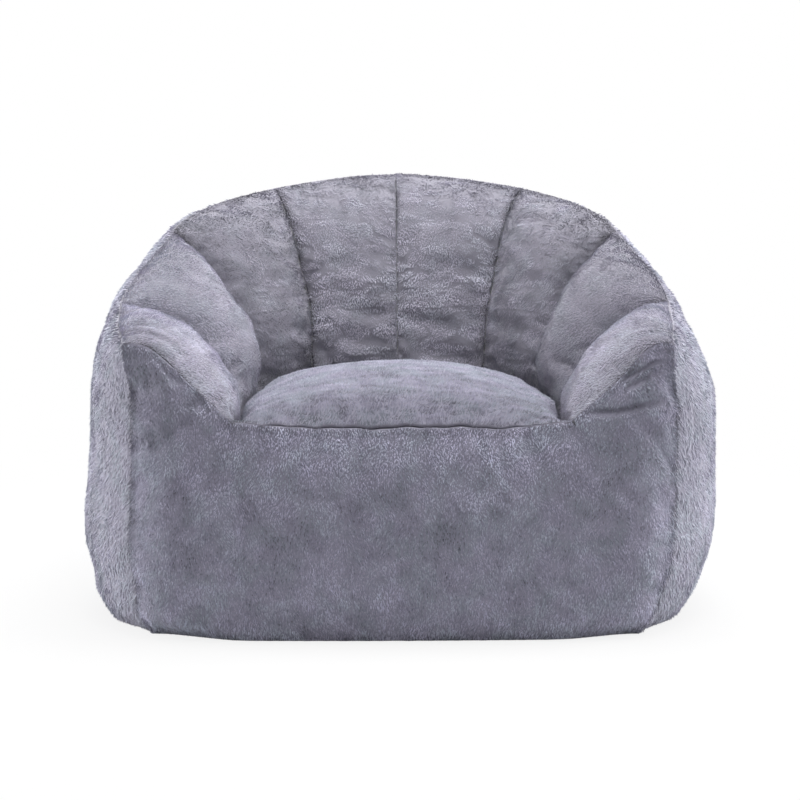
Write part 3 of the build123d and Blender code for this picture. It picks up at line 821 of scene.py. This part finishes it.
def shell_faces(shape, keep):
    """Faces of a closed shell: the outer grid, the inner grid the other way round, and a rim along each edge
    that has a kept face on one side only."""
    a, b, c, d = quad_faces(shape)[keep.ravel()].T
    inner = shape[0] * shape[1]
    faces = [np.stack([a, b, c, d], -1), inner + np.stack([d, c, b, a], -1)]
    wide = np.pad(keep, 1)
    beside = wide[:-2, 1:-1], wide[1:-1, 2:], wide[2:, 1:-1], wide[1:-1, :-2]
    for other, p, q in zip(beside, (a, b, c, d), (b, c, d, a)):
        open_edge = ~other[keep]
        p, q = p[open_edge], q[open_edge]
        faces.append(np.stack([q, p, inner + p, inner + q], -1))
    return np.concatenate(faces)


def backing(grid, keep, thickness):
    """The shell under a panel: its outer grid, its points, its faces and which grid points it uses. The outer
    face lies under the surface by the depth of the pile, and by less along the edges."""
    normals = grid_normals(grid)
    outer = grid - backing_depth * (0.35 + 0.65 * inside_edges(grid, backing_edge)[..., None]) * normals
    inner = grid - thickness[..., None] * normals
    quads = shell_faces(grid.shape[:2], keep)
    points = np.concatenate([outer.reshape(-1, 3), inner.reshape(-1, 3)])
    points[:, 2] = np.maximum(points[:, 2], 0.0)
    used = np.zeros(len(points), bool)
    used[quads.ravel()] = True
    return outer, points[used], (np.cumsum(used) - 1)[quads], used


print("a shell of one cell has", len(shell_faces((2, 2), np.ones((1, 1), bool))), "faces")

# %% Tufts
tuft_sink, floor_clear, tuft_twist = 0.0012, 0.0008, 0.3


def plant(grid, keep, trim, shade, spacing):
    """Roots of the tufts: places spread evenly over the area of the kept faces, a random place in each face,
    with the point, the normal, the two directions of the grid, the place on the flat cloth, the trim and
    the shade."""
    normals = grid_normals(grid)
    across, along = unit(np.gradient(grid, axis=1)), unit(np.gradient(grid, axis=0))
    left, _, first, _ = edge_distances(grid)
    flat = np.stack([left, first, trim, shade], -1)
    sides = np.cross(grid[1:, 1:] - grid[:-1, :-1], grid[1:, :-1] - grid[:-1, 1:])
    area = np.where(keep, np.linalg.norm(sides, axis=-1) / 2, 0)
    total = np.cumsum(area.ravel())
    count = int(total[-1] / spacing**2)
    pick = np.searchsorted(total, (np.arange(count) + chance.random(count)) / count * total[-1])
    i, j = np.unravel_index(np.minimum(pick, area.size - 1), area.shape)
    f, g = chance.random((2, count, 1))
    row = lambda v, k: (1 - g) * v[k, j] + g * v[k, j + 1]
    mix = lambda v: (1 - f) * row(v, i) + f * row(v, i + 1)
    return mix(grid), unit(mix(normals)), unit(mix(across)), unit(mix(along)), mix(flat)


def tufts(roots, normals, lean, length, width):
    """A spike for each root: three corners round the root, sunk into the backing, and a tip that leans. One
    flat side of it faces up, within a small random twist. Four points and four faces each, none below the
    floor."""
    side = unit(np.cross(normals, lean))
    front = np.cross(side, normals)
    base = roots - tuft_sink * normals
    turn = np.pi / 2 + 2 * np.pi * np.arange(3) / 3 + chance.normal(0, tuft_twist, (len(roots), 1))
    around = np.cos(turn)[..., None] * side[:, None] + np.sin(turn)[..., None] * front[:, None]
    ring = base[:, None] + width[:, None, None] * around
    tip = roots + length[:, None] * lean
    points = np.concatenate([ring, tip[:, None]], 1).reshape(-1, 3)
    points[:, 2] = np.maximum(points[:, 2], floor_clear)
    first = 4 * np.arange(len(roots))[:, None, None]
    faces = (first + np.array([[0, 1, 3], [1, 2, 3], [2, 0, 3], [2, 1, 0]])[None]).reshape(-1, 3)
    return points, faces


# %% [markdown]
# Each face gets its own small place in a flat map, so that a bake can colour every tuft by itself. Blender's
# unwrapping is slow over so many faces, and a grid of cells is as good. The sides of a tuft stay flat to the
# light, as a lock of fibres does, and the backing is smooth.


# %% Flat map
def flat_map(quads, spikes):
    """Places in a square grid of cells: one cell for each backing face, and one for each tuft, with its three
    sides fanned round the tip in one corner and its base in the other."""
    cells = int(np.ceil(np.sqrt(quads + spikes)))
    cell = np.arange(quads + spikes)
    corner = np.stack([cell % cells, cell // cells], -1) / cells
    square = np.array([[0.08, 0.08], [0.92, 0.08], [0.92, 0.92], [0.08, 0.92]])
    A, B, C, tip = [0.06, 0.06], [0.84, 0.06], [0.06, 0.84], [0.32, 0.32]
    spike = np.array([A, B, tip, B, C, tip, C, A, tip, [0.94, 0.2], [0.94, 0.94], [0.2, 0.94]])
    backing_places = corner[:quads, None] + square / cells
    pile_places = corner[quads:, None] + spike / cells
    return np.concatenate([backing_places.reshape(-1, 2), pile_places.reshape(-1, 2)])


# %% Mesh and piece
def build_mesh(name, points, quads, triangles=np.zeros((0, 3), int), values=()):
    """A mesh of quads and triangles, with point values for the material and, for a pile, a flat map."""
    mesh = bpy.data.meshes.new(name)
    mesh.vertices.add(len(points))
    mesh.vertices.foreach_set("co", points.astype(np.float32).ravel())
    corners = np.concatenate([quads.ravel(), triangles.ravel()]).astype(np.int32)
    starts = np.concatenate([4 * np.arange(len(quads)), 4 * len(quads) + 3 * np.arange(len(triangles))])
    mesh.loops.add(len(corners))
    mesh.loops.foreach_set("vertex_index", corners)
    mesh.polygons.add(len(starts))
    mesh.polygons.foreach_set("loop_start", starts.astype(np.int32))
    mesh.polygons.foreach_set("use_smooth", np.arange(len(starts)) < len(quads))
    for key, value in dict(values).items():
        mesh.attributes.new(key, "FLOAT", "POINT").data.foreach_set("value", value.astype(np.float32))
    if len(triangles):
        layer = mesh.uv_layers.new(name="OFBake")
        places = flat_map(len(quads), len(triangles) // 4)
        layer.uv.foreach_set("vector", places.astype(np.float32).ravel())
    mesh.update(calc_edges=True)
    mesh.validate()
    return new_object(name, mesh)


def finish_piece(piece, material, nodes):
    """Gives a piece its material, hides the imported parts it stands for and hangs it on the chair's body."""
    piece.data.materials.append(material)
    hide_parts(*nodes)
    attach(piece, "chair")
    print(piece.name, "faces", len(piece.data.polygons))


# %% [markdown]
# The fibres are polyester, dyed grey with a touch of violet, pale at the tips and dark at the roots, a
# painted shade where light hardly reaches. A tuft has its own tone, which varies at random and carries
# painted light and shade for its place. An image could hold all this, but two values stored on the points,
# the way up the tuft and the tone, stay sharp at any distance.

# %% Plush material
dye_patch = 0.045


def plush_material(name, root, tip, cool):
    """Polyester plush: root colour to tip colour up each tuft, times its own tone, which holds painted light
    and shade. The dye takes unevenly, so the tips go from a violet grey to a cooler one in patches of about
    45 mm."""
    material, tree, place = new_material(name)
    patches = add(tree, "TexNoise", {"Vector": place, "Scale": 1 / dye_patch, "Detail": 2.0})
    takes = add(tree, "MapRange", {0: patches, 1: 0.42, 2: 0.62})
    dyed = add(tree, "Mix", {0: takes, 6: linear(tip), 7: linear(cool)}, out=2, data_type="RGBA")
    # The tone attribute holds painted light and shade as well as random tone.
    up, tone = (add(tree, "Attribute", out="Fac", attribute_name=key) for key in ("up_the_tuft", "tone"))
    fibre = add(tree, "Mix", {0: up, 6: linear(root), 7: dyed}, out=2, data_type="RGBA")
    toned = add(tree, "VectorMath", {0: fibre, "Scale": tone}, operation="SCALE")
    sheen = {"Sheen Weight": 0.3, "Sheen Roughness": 0.5}
    dress(tree, toned, {"Roughness": 0.9, "Specular IOR Level": 0.15, **sheen})
    return material


# One dye in four copies: the seat's is made darker as painted shade, and the wall's paler as painted light.
plush_cloth = {
    "front_plush": plush_material("polyester_plush_front", "#918fa0", "#a3a1b5", "#9ba1ae"),
    "channel_plush": plush_material("polyester_plush_channels", "#918f9b", "#a5a2b1", "#a1a3af"),
    "seat_plush": plush_material("polyester_plush_seat_painted_darker", "#82808f", "#908ea0", "#8c919d"),
    "wall_plush": plush_material("polyester_plush_wall", "#9e9cab", "#aeacbd", "#a8adb9"),
}
print("plush", [cloth.name for cloth in plush_cloth.values()])

# %% [markdown]
# The nap of the back and the seat is ruffled by use: it curls, and the pile parts in short lines, darkened
# with painted shade. On the arm rolls, the front and the wall it lies smoother, combed downwards. Along the
# seams the pile stands up and is darker with painted shade, more in some places than in others. One table
# holds what differs from panel to panel, so the same steps make every pile.

# %% Pile of each panel
pile_lean, seam_shadow, shadow_lumps = 69.0, 0.015, 0.028
shortest_pile, pile_per_spacing = 0.0022, 1.6
# Spacing, nap along the two directions of the grid, curl, size of a patch, and the strength of the patches,
# the partings and the grain
nap_of = {
    "arm": (0.0019, (0, -1), 0.30, (0.050, 0.030), 0.08, 0.12, 0.05),
    "back": (0.0021, (0, -1), 0.80, (0.036, 0.013), 0.28, 0.70, 0.08),
    "front": (0.0023, (0, -1), 0.55, (0.026, 0.030), 0.25, 0.16, 0.20),
    "seat": (0.0026, (0.25, 1), 0.80, (0.030, 0.010), 0.26, 0.30, 0.08),
    "wall": (0.0036, (0, 1), 0.40, (0.030, 0.060), 0.06, 0.00, 0.08),
}
# Painted light for each channel: lighter or darker by how the lamps fall on it, the arm rolls lightest.
channel_painted_light = (1.62, 1.30, 0.90, 1.04, 1.11, 0.99, 0.96, 1.41)
seam_shade = (0.5, 0.7, 0.8, 0.6, 0.2, 0.6, 0.8, 0.7, 0.5)
channel_foot_shade, ridge_shade = 1.0, 0.55
other_shades = {"front": (0.4, 0.4, 0.6, 0.4), "seat": (1.0, 1.0, 0.4, 1.0), "wall": (0.5, 0.5, 0.55, 0.6)}


def painted_light_of_place(name, roots, left, first, right):
    """Painted light and shade of a tuft for its place. The front is paler at the foot with painted light from
    the floor and below the seat with painted light from above, and darker at the left arm with painted shade;
    the seat is darker along its front and the channels at the foot, both painted shade, and a painted shadow
    falls where the third channel on each side lies behind the second."""
    x, z = roots[:, 0], roots[:, 2]
    if name == "plush_front":
        # Painted light at the foot, from the floor, and below the seat; painted shade at the left arm.
        lit_below_seat = ramp(z, 0.21, 0.31) * ramp(np.abs(x), 0.33, 0.25)
        shaded_left_arm = ramp(-x, 0.27, 0.33) * ramp(z, 0.29, 0.34)
        return (0.94 + 0.14 * ramp(z, 0.17, 0.07)) * (1 + 0.19 * lit_below_seat) * (1 - 0.12 * shaded_left_arm)
    if name == "plush_seat":
        # Painted shade along the seat's front.
        return 1.03 - 0.20 * ramp(first, 0.12, 0)
    if "channel" not in name:
        return 1.0
    number = int(name[-1])
    # Painted shade at the foot of the channels, and a painted shadow of the second channel on the third.
    shade_at_foot = (0.15 if number in smooth_channels else 0.5) * ramp(first, 0.13, 0)
    behind = {3: left, 6: right}.get(number, np.inf)
    return (1 - shade_at_foot) * channel_painted_light[number - 1] * (1 - 0.42 * np.clip(1 - behind / 0.08, 0, 1))


for kind, (spacing, *_) in nap_of.items():
    print(kind, "pile of", round(1000 * (shortest_pile + pile_per_spacing * spacing), 1), "mm")


# %% Nap, patches and partings
def lean_of(comb, curl, roots, up, across, along, lit):
    """Direction of each tuft: the combed nap, turned by smooth noise, and raised towards the normal, most
    along the seams."""
    swirl = soft_noise(roots, 0.026, 51) * curl + soft_noise(roots, 0.008, 52) * 0.45 * curl**0.5
    nap = unit(comb[0] * across + comb[1] * along)
    nap = np.cos(swirl)[:, None] * nap + np.sin(swirl)[:, None] * np.cross(up, nap)
    tilt = pile_lean * (0.5 + 0.5 * lit) + 9 * soft_noise(roots, 0.015, 53) + chance.normal(0, 5, len(roots))
    tilt = np.radians(tilt)[:, None]
    return np.cos(tilt) * up + np.sin(tilt) * nap


def patches_of(size, left, first, layer):
    """Places on the flat cloth, measured in patches and warped by smooth noise, and how far the pile parts
    there: most in the lines where a smooth noise is near nought, if another one lets it."""
    patch = np.stack([left / size[0], first / size[1], 0 * left + layer], -1)
    warp = [soft_noise(0.6 * patch, 1.0, 57), soft_noise(0.6 * patch, 1.0, 58), 0 * left]
    patch = patch + 0.9 * np.stack(warp, -1)
    here = (0.6 + 1.2 * soft_noise(0.5 * patch, 1.0, 61)).clip(0, 1)
    return patch, np.exp(-(soft_noise(1.1 * patch, 1.0, 60) / 0.14) ** 2) * here


# %% Plush pieces
def plush_piece(name, kind, keep, trim, thickness, shades, slot, nodes):
    """One panel: a closed backing shell and its pile. A tuft is shorter along the seams and in the partings,
    and darker there with painted shade; its tone varies at random from patch to patch and from tuft to tuft."""
    spacing, comb, curl, patch_size, mottle, parted, grain = nap_of[kind]
    grid = panels[name]
    lumps = (0.8 + 0.5 * soft_noise(grid, shadow_lumps, 59)).clip(0, 1)
    shade = 1 - (1 - inside_edges(grid, seam_shadow, shades)) * lumps
    outer, shell, quads, used = backing(grid, keep, thickness)
    roots, up, across, along, flat = plant(outer, keep, trim * (0.65 + 0.35 * shade), shade, spacing)
    left, first, cut, lit = flat.T
    count = len(roots)
    lean = lean_of(comb, curl, roots, up, across, along, lit)
    patch, parting = patches_of(patch_size, left, first, len(name))
    parting = parted * parting
    uneven = 1 + 0.14 * chance.normal(0, 1, count).clip(-2, 2)
    length = (shortest_pile + pile_per_spacing * spacing) * cut * (1 - parting) * uneven
    width = spacing * (0.60 + 0.10 * chance.random(count))
    spikes, triangles = tufts(roots, up, lean, length, width)

    tone = 1 + mottle * soft_noise(patch, 1.0, 54) + 0.5 * mottle * soft_noise(2.3 * patch, 1.0, 55)
    tone = tone + 0.08 * soft_noise(roots, 0.085, 56) + grain * chance.normal(0, 1, count).clip(-2.5, 2.5)
    # Painted shade: darker along the seams (lit), where the pile is cut short (cut) and in the partings.
    tone = tone * (0.60 + 0.40 * lit) * (0.7 + 0.3 * cut) * (1 + 0.12 * parted - parting)
    grid_width = np.linalg.norm(np.diff(grid, axis=1), axis=-1).sum(1).mean()
    # Painted light and shade for the tuft's place on its panel.
    tone = tone * painted_light_of_place(name, roots, left, first, grid_width - left)
    values = {
        "up_the_tuft": np.concatenate([np.zeros(len(shell)), np.tile([0.3, 0.3, 0.3, 1.0], count)]),
        # The backing shell is darker along the seams: painted shade.
        "tone": np.concatenate([np.tile(0.25 + 0.6 * shade.ravel(), 2)[used], np.repeat(tone, 4)]),
    }
    piece = build_mesh(name, np.concatenate([shell, spikes]), quads, triangles + len(shell), values)
    finish_piece(piece, plush_cloth[slot], nodes)


# %% All plush panels
cloth_thickness, most_wadding = 0.0098, 0.028
every_face = lambda grid: np.ones((grid.shape[0] - 1, grid.shape[1] - 1), bool)
for k in range(1, 9):
    _, _, foot, top = edge_distances(panels[f"plush_channel_{k}"])
    stuffed = cloth_thickness + np.minimum(most_wadding, 0.45 * np.minimum(foot, top))
    kind = "arm" if k in smooth_channels else "back"
    shades = (seam_shade[k - 1], seam_shade[k], channel_foot_shade, ridge_shade)
    plush_piece(f"plush_channel_{k}", kind, every_face(foot), np.ones(foot.shape), stuffed, shades,
                "channel_plush", (f"back_channel_{k}", f"channel_wadding_{k}"))
for part, trim in (("front", front_trim_and_shade), ("seat", np.ones(seat.shape[:2]))):
    plush_piece(f"plush_{part}", part, every_face(trim), trim, np.full(trim.shape, cloth_thickness),
                other_shades[part], f"{part}_plush", (f"{part}_panel",))
for side, (_, keep, trim, _) in walls.items():
    plush_piece(f"plush_wall_{side}", "wall", keep, trim, np.full(trim.shape, cloth_thickness),
                other_shades["wall"], "wall_plush", (f"outer_wall_{side}",))

# %% [markdown]
# ## Inner bags
# Inside are two bags of thin bonded cloth full of beads: a long one that fills the back and the arms, and a
# short one under the seat. They are only seen when the cover is open, so plain forms do. The long one is a
# closed loop carried along a path and drawn together at its ends. The short one is its own outline, stacked
# from the bottom to the top.


# %% Forms for bags
def smooth_loop(loop, width):
    """A closed loop of points at even steps, each the mean of its neighbours over the given length, so that
    its corners are round. Works on the second last axis."""
    ahead = np.roll(loop, -1, -2) - loop
    step = np.linalg.norm(ahead, axis=-1).mean()
    reach = max(int(width / step / 2), 1)
    return sum(np.roll(loop, k, -2) for k in range(-reach, reach + 1)) / (2 * reach + 1)


def even_loop(corners, count):
    """Points at even steps along a closed line through the given points."""
    corners = np.concatenate([corners, corners[:1]])
    along = np.append(0, np.cumsum(np.linalg.norm(np.diff(corners, axis=0), axis=-1)))
    steps = np.linspace(0, along[-1], count, endpoint=False)
    return np.stack([np.interp(steps, along, corners[:, k]) for k in range(corners.shape[1])], -1)


def stacked(outline, middle, count, round_plan, round_height):
    """Loops of a flat bag from its bottom to its top: the outline shrunk towards the middle by a power of the
    sine, the shrink, and the share of the height from a power of the cosine of the same angle."""
    turn = np.linspace(0, np.pi, count)[:, None]
    shrink = np.sin(turn) ** round_plan
    high = (1 - np.sign(np.cos(turn)) * np.abs(np.cos(turn)) ** round_height) / 2
    return middle + (outline - middle)[None] * shrink[..., None], shrink, high


def closed_tube(loops):
    """Points and faces of a tube: loops of points side by side, joined all round, with their ends drawn to a
    point. The faces are turned over if the volume inside them comes out negative."""
    shape = loops.shape[:2]
    index = np.arange(shape[0] * shape[1]).reshape(shape)
    ring = np.concatenate([index, index[:, :1]], 1)
    faces = ring.ravel()[quad_faces(ring.shape)]
    points = loops.reshape(-1, 3)
    a, b, c, d = (points[faces[:, k]] for k in range(4))
    volume = np.einsum("ij,ij->i", a, np.cross(b, c)) + np.einsum("ij,ij->i", a, np.cross(c, d))
    return points, faces if volume.sum() > 0 else faces[:, ::-1]


# %% Back bag
bag_floor, bag_end, bag_round, bag_lumps = 0.008, 0.16, 0.28, 0.003
behind_channels, inside_wall, beside_seat, over_floor = 0.052, 0.026, 0.022, 0.014


def back_section(u):
    """Loop of the back bag in the plane of station u: behind the channels, down inside the wall, over the
    floor and up beside the seat bag."""
    t = np.linspace(0, 1, 200)
    stations = np.full(200, u)
    heading = lambda line: np.gradient(line) / np.maximum(np.abs(np.gradient(line)), 1e-9)
    inside = lambda line, gap: line - 1j * gap * heading(line)
    behind = inside(seat_side(stations, t), behind_channels)[6:170]
    within = inside(wall_side(stations, t), inside_wall)[30:192]
    foot = seam_values(np.array([u]))["foot"][0] + beside_seat
    line = np.concatenate([behind, within[within.imag > over_floor], [foot + 1j * over_floor, foot + 0.30j]])
    return even_loop(np.stack([line.real, line.imag], -1), 96)


bag_stations = np.linspace(bag_end, 8 - bag_end, 130)
sections = smooth_loop(np.stack([back_section(u) for u in bag_stations]), 0.05)
section_middle = sections.mean(1, keepdims=True)
from_end = np.minimum(bag_stations - bag_end, 8 - bag_end - bag_stations)
drawn_in = np.sin(np.arccos(np.clip(1 - from_end / bag_round, 0, 1)))[:, None, None]
sections = section_middle + (sections - section_middle) * drawn_in
back_loops = stand(bag_stations[:, None] + 0 * sections[..., 0], sections[..., 0] + 1j * sections[..., 1])
back_loops = settle(back_loops + bag_lumps * soft_noise(back_loops, 0.05, 61)[..., None] * drawn_in)
back_loops[..., 2] = np.maximum(back_loops[..., 2], bag_floor)
print("back bag", back_loops.shape[:2], "top", round(back_loops[..., 2].max(), 4))

# %% Seat bag
seat_bag_gap, seat_bag_under, crown_kept = 0.016, 0.020, 0.85
round_seat = np.linspace(0, 8, 200)
outline = stand(round_seat, seam_values(round_seat)["foot"] - seat_bag_gap + 0j)[:, :2]
outline[:, 1] = np.maximum(outline[:, 1], front_y + seat_bag_under)
outline = smooth_loop(even_loop(outline, 120), 0.08)
plan, shrink, high = stacked(outline, outline.mean(0), 60, 0.25, 0.25)
crest = seat_height - seat_bag_under + crown_kept * np.maximum(seat_rise(plan[..., 0], plan[..., 1]), 0)
seat_loops = np.dstack([plan, bag_floor + (crest - bag_floor) * high])
seat_loops[..., :2] += bag_lumps * (soft_noise(seat_loops, 0.05, 62) * shrink)[..., None]
seat_loops = settle(seat_loops)
print("seat bag", seat_loops.shape[:2], "top", round(seat_loops[..., 2].max(), 4))

# %% [markdown]
# The inner bags are spunbond polypropylene: thin fibres pressed together at rows of small dots, which gives a
# dull white cloth with a faint grid. The dots are too small to model, so cells without any randomness draw
# them in the material.

# %% Bonded liner cloth
dot_drawn, fibre_clump = 0.004, 1 / 60


def liner_material():
    """Spunbond polypropylene: pressed dots 1 mm apart, drawn at 4 mm so that they show, and uneven fibres."""
    material, tree, place = new_material("spunbond_polypropylene")
    dots = {"Vector": place, "Scale": 1 / dot_drawn, "Randomness": 0.0}
    dots = add(tree, "TexVoronoi", dots, out="Distance")
    fibres = add(tree, "TexNoise", {"Vector": place, "Scale": 1 / fibre_clump, "Detail": 6.0})
    tone = add(tree, "MapRange", {0: dots, 1: 0.15, 2: 0.45, 3: 0.86, 4: 1.0})
    pale = add(tree, "Mix", {0: fibres, 6: linear("#d2d2d0"), 7: linear("#ecece8")}, out=2, data_type="RGBA")
    colour = add(tree, "VectorMath", {0: pale, "Scale": tone}, operation="SCALE")
    dress(tree, colour, {"Roughness": 0.75, "IOR": 1.49}, (tone, 0.3, 0.0005))
    return material


liner_cloth = liner_material()
for name, loops, nodes in (("inner_bag_back", back_loops, ("back_liner", "back_fill")),
                           ("inner_bag_seat", seat_loops, ("seat_liner", "seat_fill"))):
    finish_piece(build_mesh(name, *closed_tube(loops)), liner_cloth, nodes)

# %% [markdown]
# ## Base
# It stands on a panel of woven oxford cloth, which wears better than plush. The panel is flat where it rests
# on the floor, and its outline follows the lower edges of the front and the walls. A flat face would have no
# rim, so it is stacked as the seat bag is. The weave is two crossed waves in the material.

# %% Base panel
base_low, base_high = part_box("base_panel")
base_inset, base_gap = 0.012, 0.0005
rim = smooth_loop(even_loop(np.concatenate(base_edge)[:, :2], 240), 0.03)
base_middle = rim.mean(0)
rim = rim - base_inset * unit(rim - base_middle)
plan, _, high = stacked(rim, base_middle, 25, 0.5, 0.15)
base_thick = base_high.z - base_low.z - 2 * base_gap
base_loops = np.dstack([plan, base_low.z + base_gap + base_thick * (high + 0 * plan[..., 0])])
print("base", np.round(base_loops.max((0, 1)) - base_loops.min((0, 1)), 4).tolist())

# %% Oxford cloth
thread_drawn, wave_scale = 0.0025, 20 / 63


def oxford_material():
    """Woven polyester oxford: a plain weave of 0.6 mm threads, drawn at 2.5 mm so that it shows. A wave node
    repeats once in a length of about 20 over 63 of its scale's inverse."""
    material, tree, place = new_material("woven_oxford_polyester")
    threads = {"Vector": place, "Scale": wave_scale / thread_drawn, "Distortion": 0.6}
    warp, weft = (add(tree, "TexWave", threads, out=1, bands_direction=way) for way in "XY")
    weave = add(tree, "Math", {0: warp, 1: weft}, operation="MULTIPLY")
    worn = add(tree, "TexNoise", {"Vector": place, "Scale": 9.0, "Detail": 4.0})
    dark = add(tree, "Mix", {0: worn, 6: linear("#5c5c63"), 7: linear("#727279")}, out=2, data_type="RGBA")
    tone = add(tree, "MapRange", {0: weave, 3: 0.7, 4: 1.1})
    colour = add(tree, "VectorMath", {0: dark, "Scale": tone}, operation="SCALE")
    dress(tree, colour, {"Roughness": 0.7, "Specular IOR Level": 0.3}, (weave, 0.4, 0.0004))
    return material


base_piece = build_mesh("base_cloth", *closed_tube(base_loops))
finish_piece(base_piece, oxford_material(), ("base_panel",))

# %% [markdown]
# ## Zip
# The zip is a coil zip: nylon wire wound into two long spirals that are sewn to woven tapes. The tapes, the
# end stops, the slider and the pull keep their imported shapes. The two coils are wound here, because a plain
# bar would not look like a zip.

# %% Coil spirals
tape_reach, tape_height, tape_tilt = 0.50379, 0.11862, np.radians(7.07)
coil_reach, coil_middle = np.radians(34.965), 0.0021
coil_thick, coil_wide, wire, pitch = 0.0032, 0.0024, 0.00045, 0.0020


def coil(side):
    """Tube round a helix that follows the tape's arc: the wire goes round an ellipse of the coil's thickness
    and width once every pitch, and a small ring of points goes round the wire."""
    turns = 2 * coil_reach * tape_reach / pitch
    steps = np.linspace(0, 1, int(turns * 10))
    place = np.pi / 2 - coil_reach + 2 * coil_reach * steps
    out = np.stack([np.cos(place), np.sin(place), 0 * place], -1)
    normal = out * np.cos(tape_tilt) - upwards * np.sin(tape_tilt)
    up = out * np.sin(tape_tilt) + upwards * np.cos(tape_tilt)
    round_wire = 2 * np.pi * turns * steps
    outwards = np.cos(round_wire)[:, None] * normal + np.sin(round_wire)[:, None] * up
    line = np.array([0, axis_y, tape_height]) + tape_reach * out + side * coil_middle * up
    line = line + (coil_thick / 2 - wire) * np.cos(round_wire)[:, None] * normal
    line = line + (coil_wide / 2 - wire) * np.sin(round_wire)[:, None] * up
    across = unit(np.cross(np.gradient(line, axis=0), outwards))
    ring = np.radians((0, 90, 180, 270))
    order = np.arange(len(steps))
    ends_small = np.minimum(1, np.minimum(order, order[::-1]) / 2.0)
    around = np.cos(ring)[:, None] * outwards[:, None] + np.sin(ring)[:, None] * across[:, None]
    return closed_tube(line[:, None] + wire * ends_small[:, None, None] * around)


print("turns in a coil", round(2 * coil_reach * tape_reach / pitch))

# %% [markdown]
# The wire is nylon, smooth and a little glossy. The tape is woven polyester with a fine rib along it. The
# slider, pull and stops are zinc, cast and painted a satin grey. These are small, so a fine grain in colour,
# roughness and relief is enough.

# %% Zip materials
rib_spacing, thread_spacing = 0.0008, 0.0010


def zip_material(name, dark, pale, size, depth, rough, shader):
    """Small uneven grain of the given size between two tones, with a little relief and uneven roughness."""
    material, tree, place = new_material(name)
    grain = add(tree, "TexNoise", {"Vector": place, "Scale": 1 / size, "Detail": 3.0})
    colour = add(tree, "Mix", {0: grain, 6: linear(dark), 7: linear(pale)}, out=2, data_type="RGBA")
    rough = add(tree, "MapRange", {0: grain, 3: rough - 0.08, 4: rough + 0.08})
    dress(tree, colour, {"Roughness": rough, **shader}, (grain, 0.25, depth))
    return material


def tape_material():
    """Woven polyester tape: ribs 0.8 mm apart along the tape, crossed by threads 1 mm apart round the tub."""
    material, tree, place = new_material("woven_polyester_tape")
    centred = add(tree, "Mapping", {"Vector": place, "Location": (0, -axis_y, 0)})
    ribs = {"Vector": centred, "Scale": wave_scale / rib_spacing}
    ribs = add(tree, "TexWave", ribs, out=1, bands_direction="Z")
    angle = add(tree, "TexGradient", {"Vector": centred}, out=1, gradient_type="RADIAL")
    round_tub = 2 * np.pi * 2 * np.pi * tape_reach / thread_spacing
    threads = add(tree, "Math", {0: angle, 1: round_tub}, operation="MULTIPLY")
    threads = add(tree, "Math", {0: threads}, operation="SINE")
    weave = add(tree, "Math", {0: threads, 1: ribs}, operation="MULTIPLY")
    tone = add(tree, "MapRange", {0: weave, 1: -1.0, 2: 1.0})
    grey = {0: tone, 6: linear("#7d7c86"), 7: linear("#a19fab")}
    colour = add(tree, "Mix", grey, out=2, data_type="RGBA")
    dress(tree, colour, {"Roughness": 0.7, "Sheen Weight": 0.2}, (tone, 0.3, 0.0002))
    return material


# %% Zip pieces
nylon = zip_material("nylon_wire", "#8f8d99", "#a5a3b0", 0.004, 0.00005, 0.38, {})
painted = {"Metallic": 0.4, "Coat Weight": 0.3}
zinc = zip_material("painted_zinc", "#85848e", "#9b9aa3", 0.0012, 0.00004, 0.36, painted)
tape = tape_material()
for name, side in (("upper", 1), ("lower", -1)):
    finish_piece(build_mesh(f"zip_spiral_{name}", *coil(side)), nylon, (f"zip_coil_{name}",))
for name, finish in (("zip_tape_upper", tape), ("zip_tape_lower", tape), ("zip_end_stops", zinc),
                     ("zip_slider", zinc), ("zip_pull", zinc)):
    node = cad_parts[name]
    node.data.materials.clear()
    node.data.materials.append(finish)
    print(name, "is", finish.name)
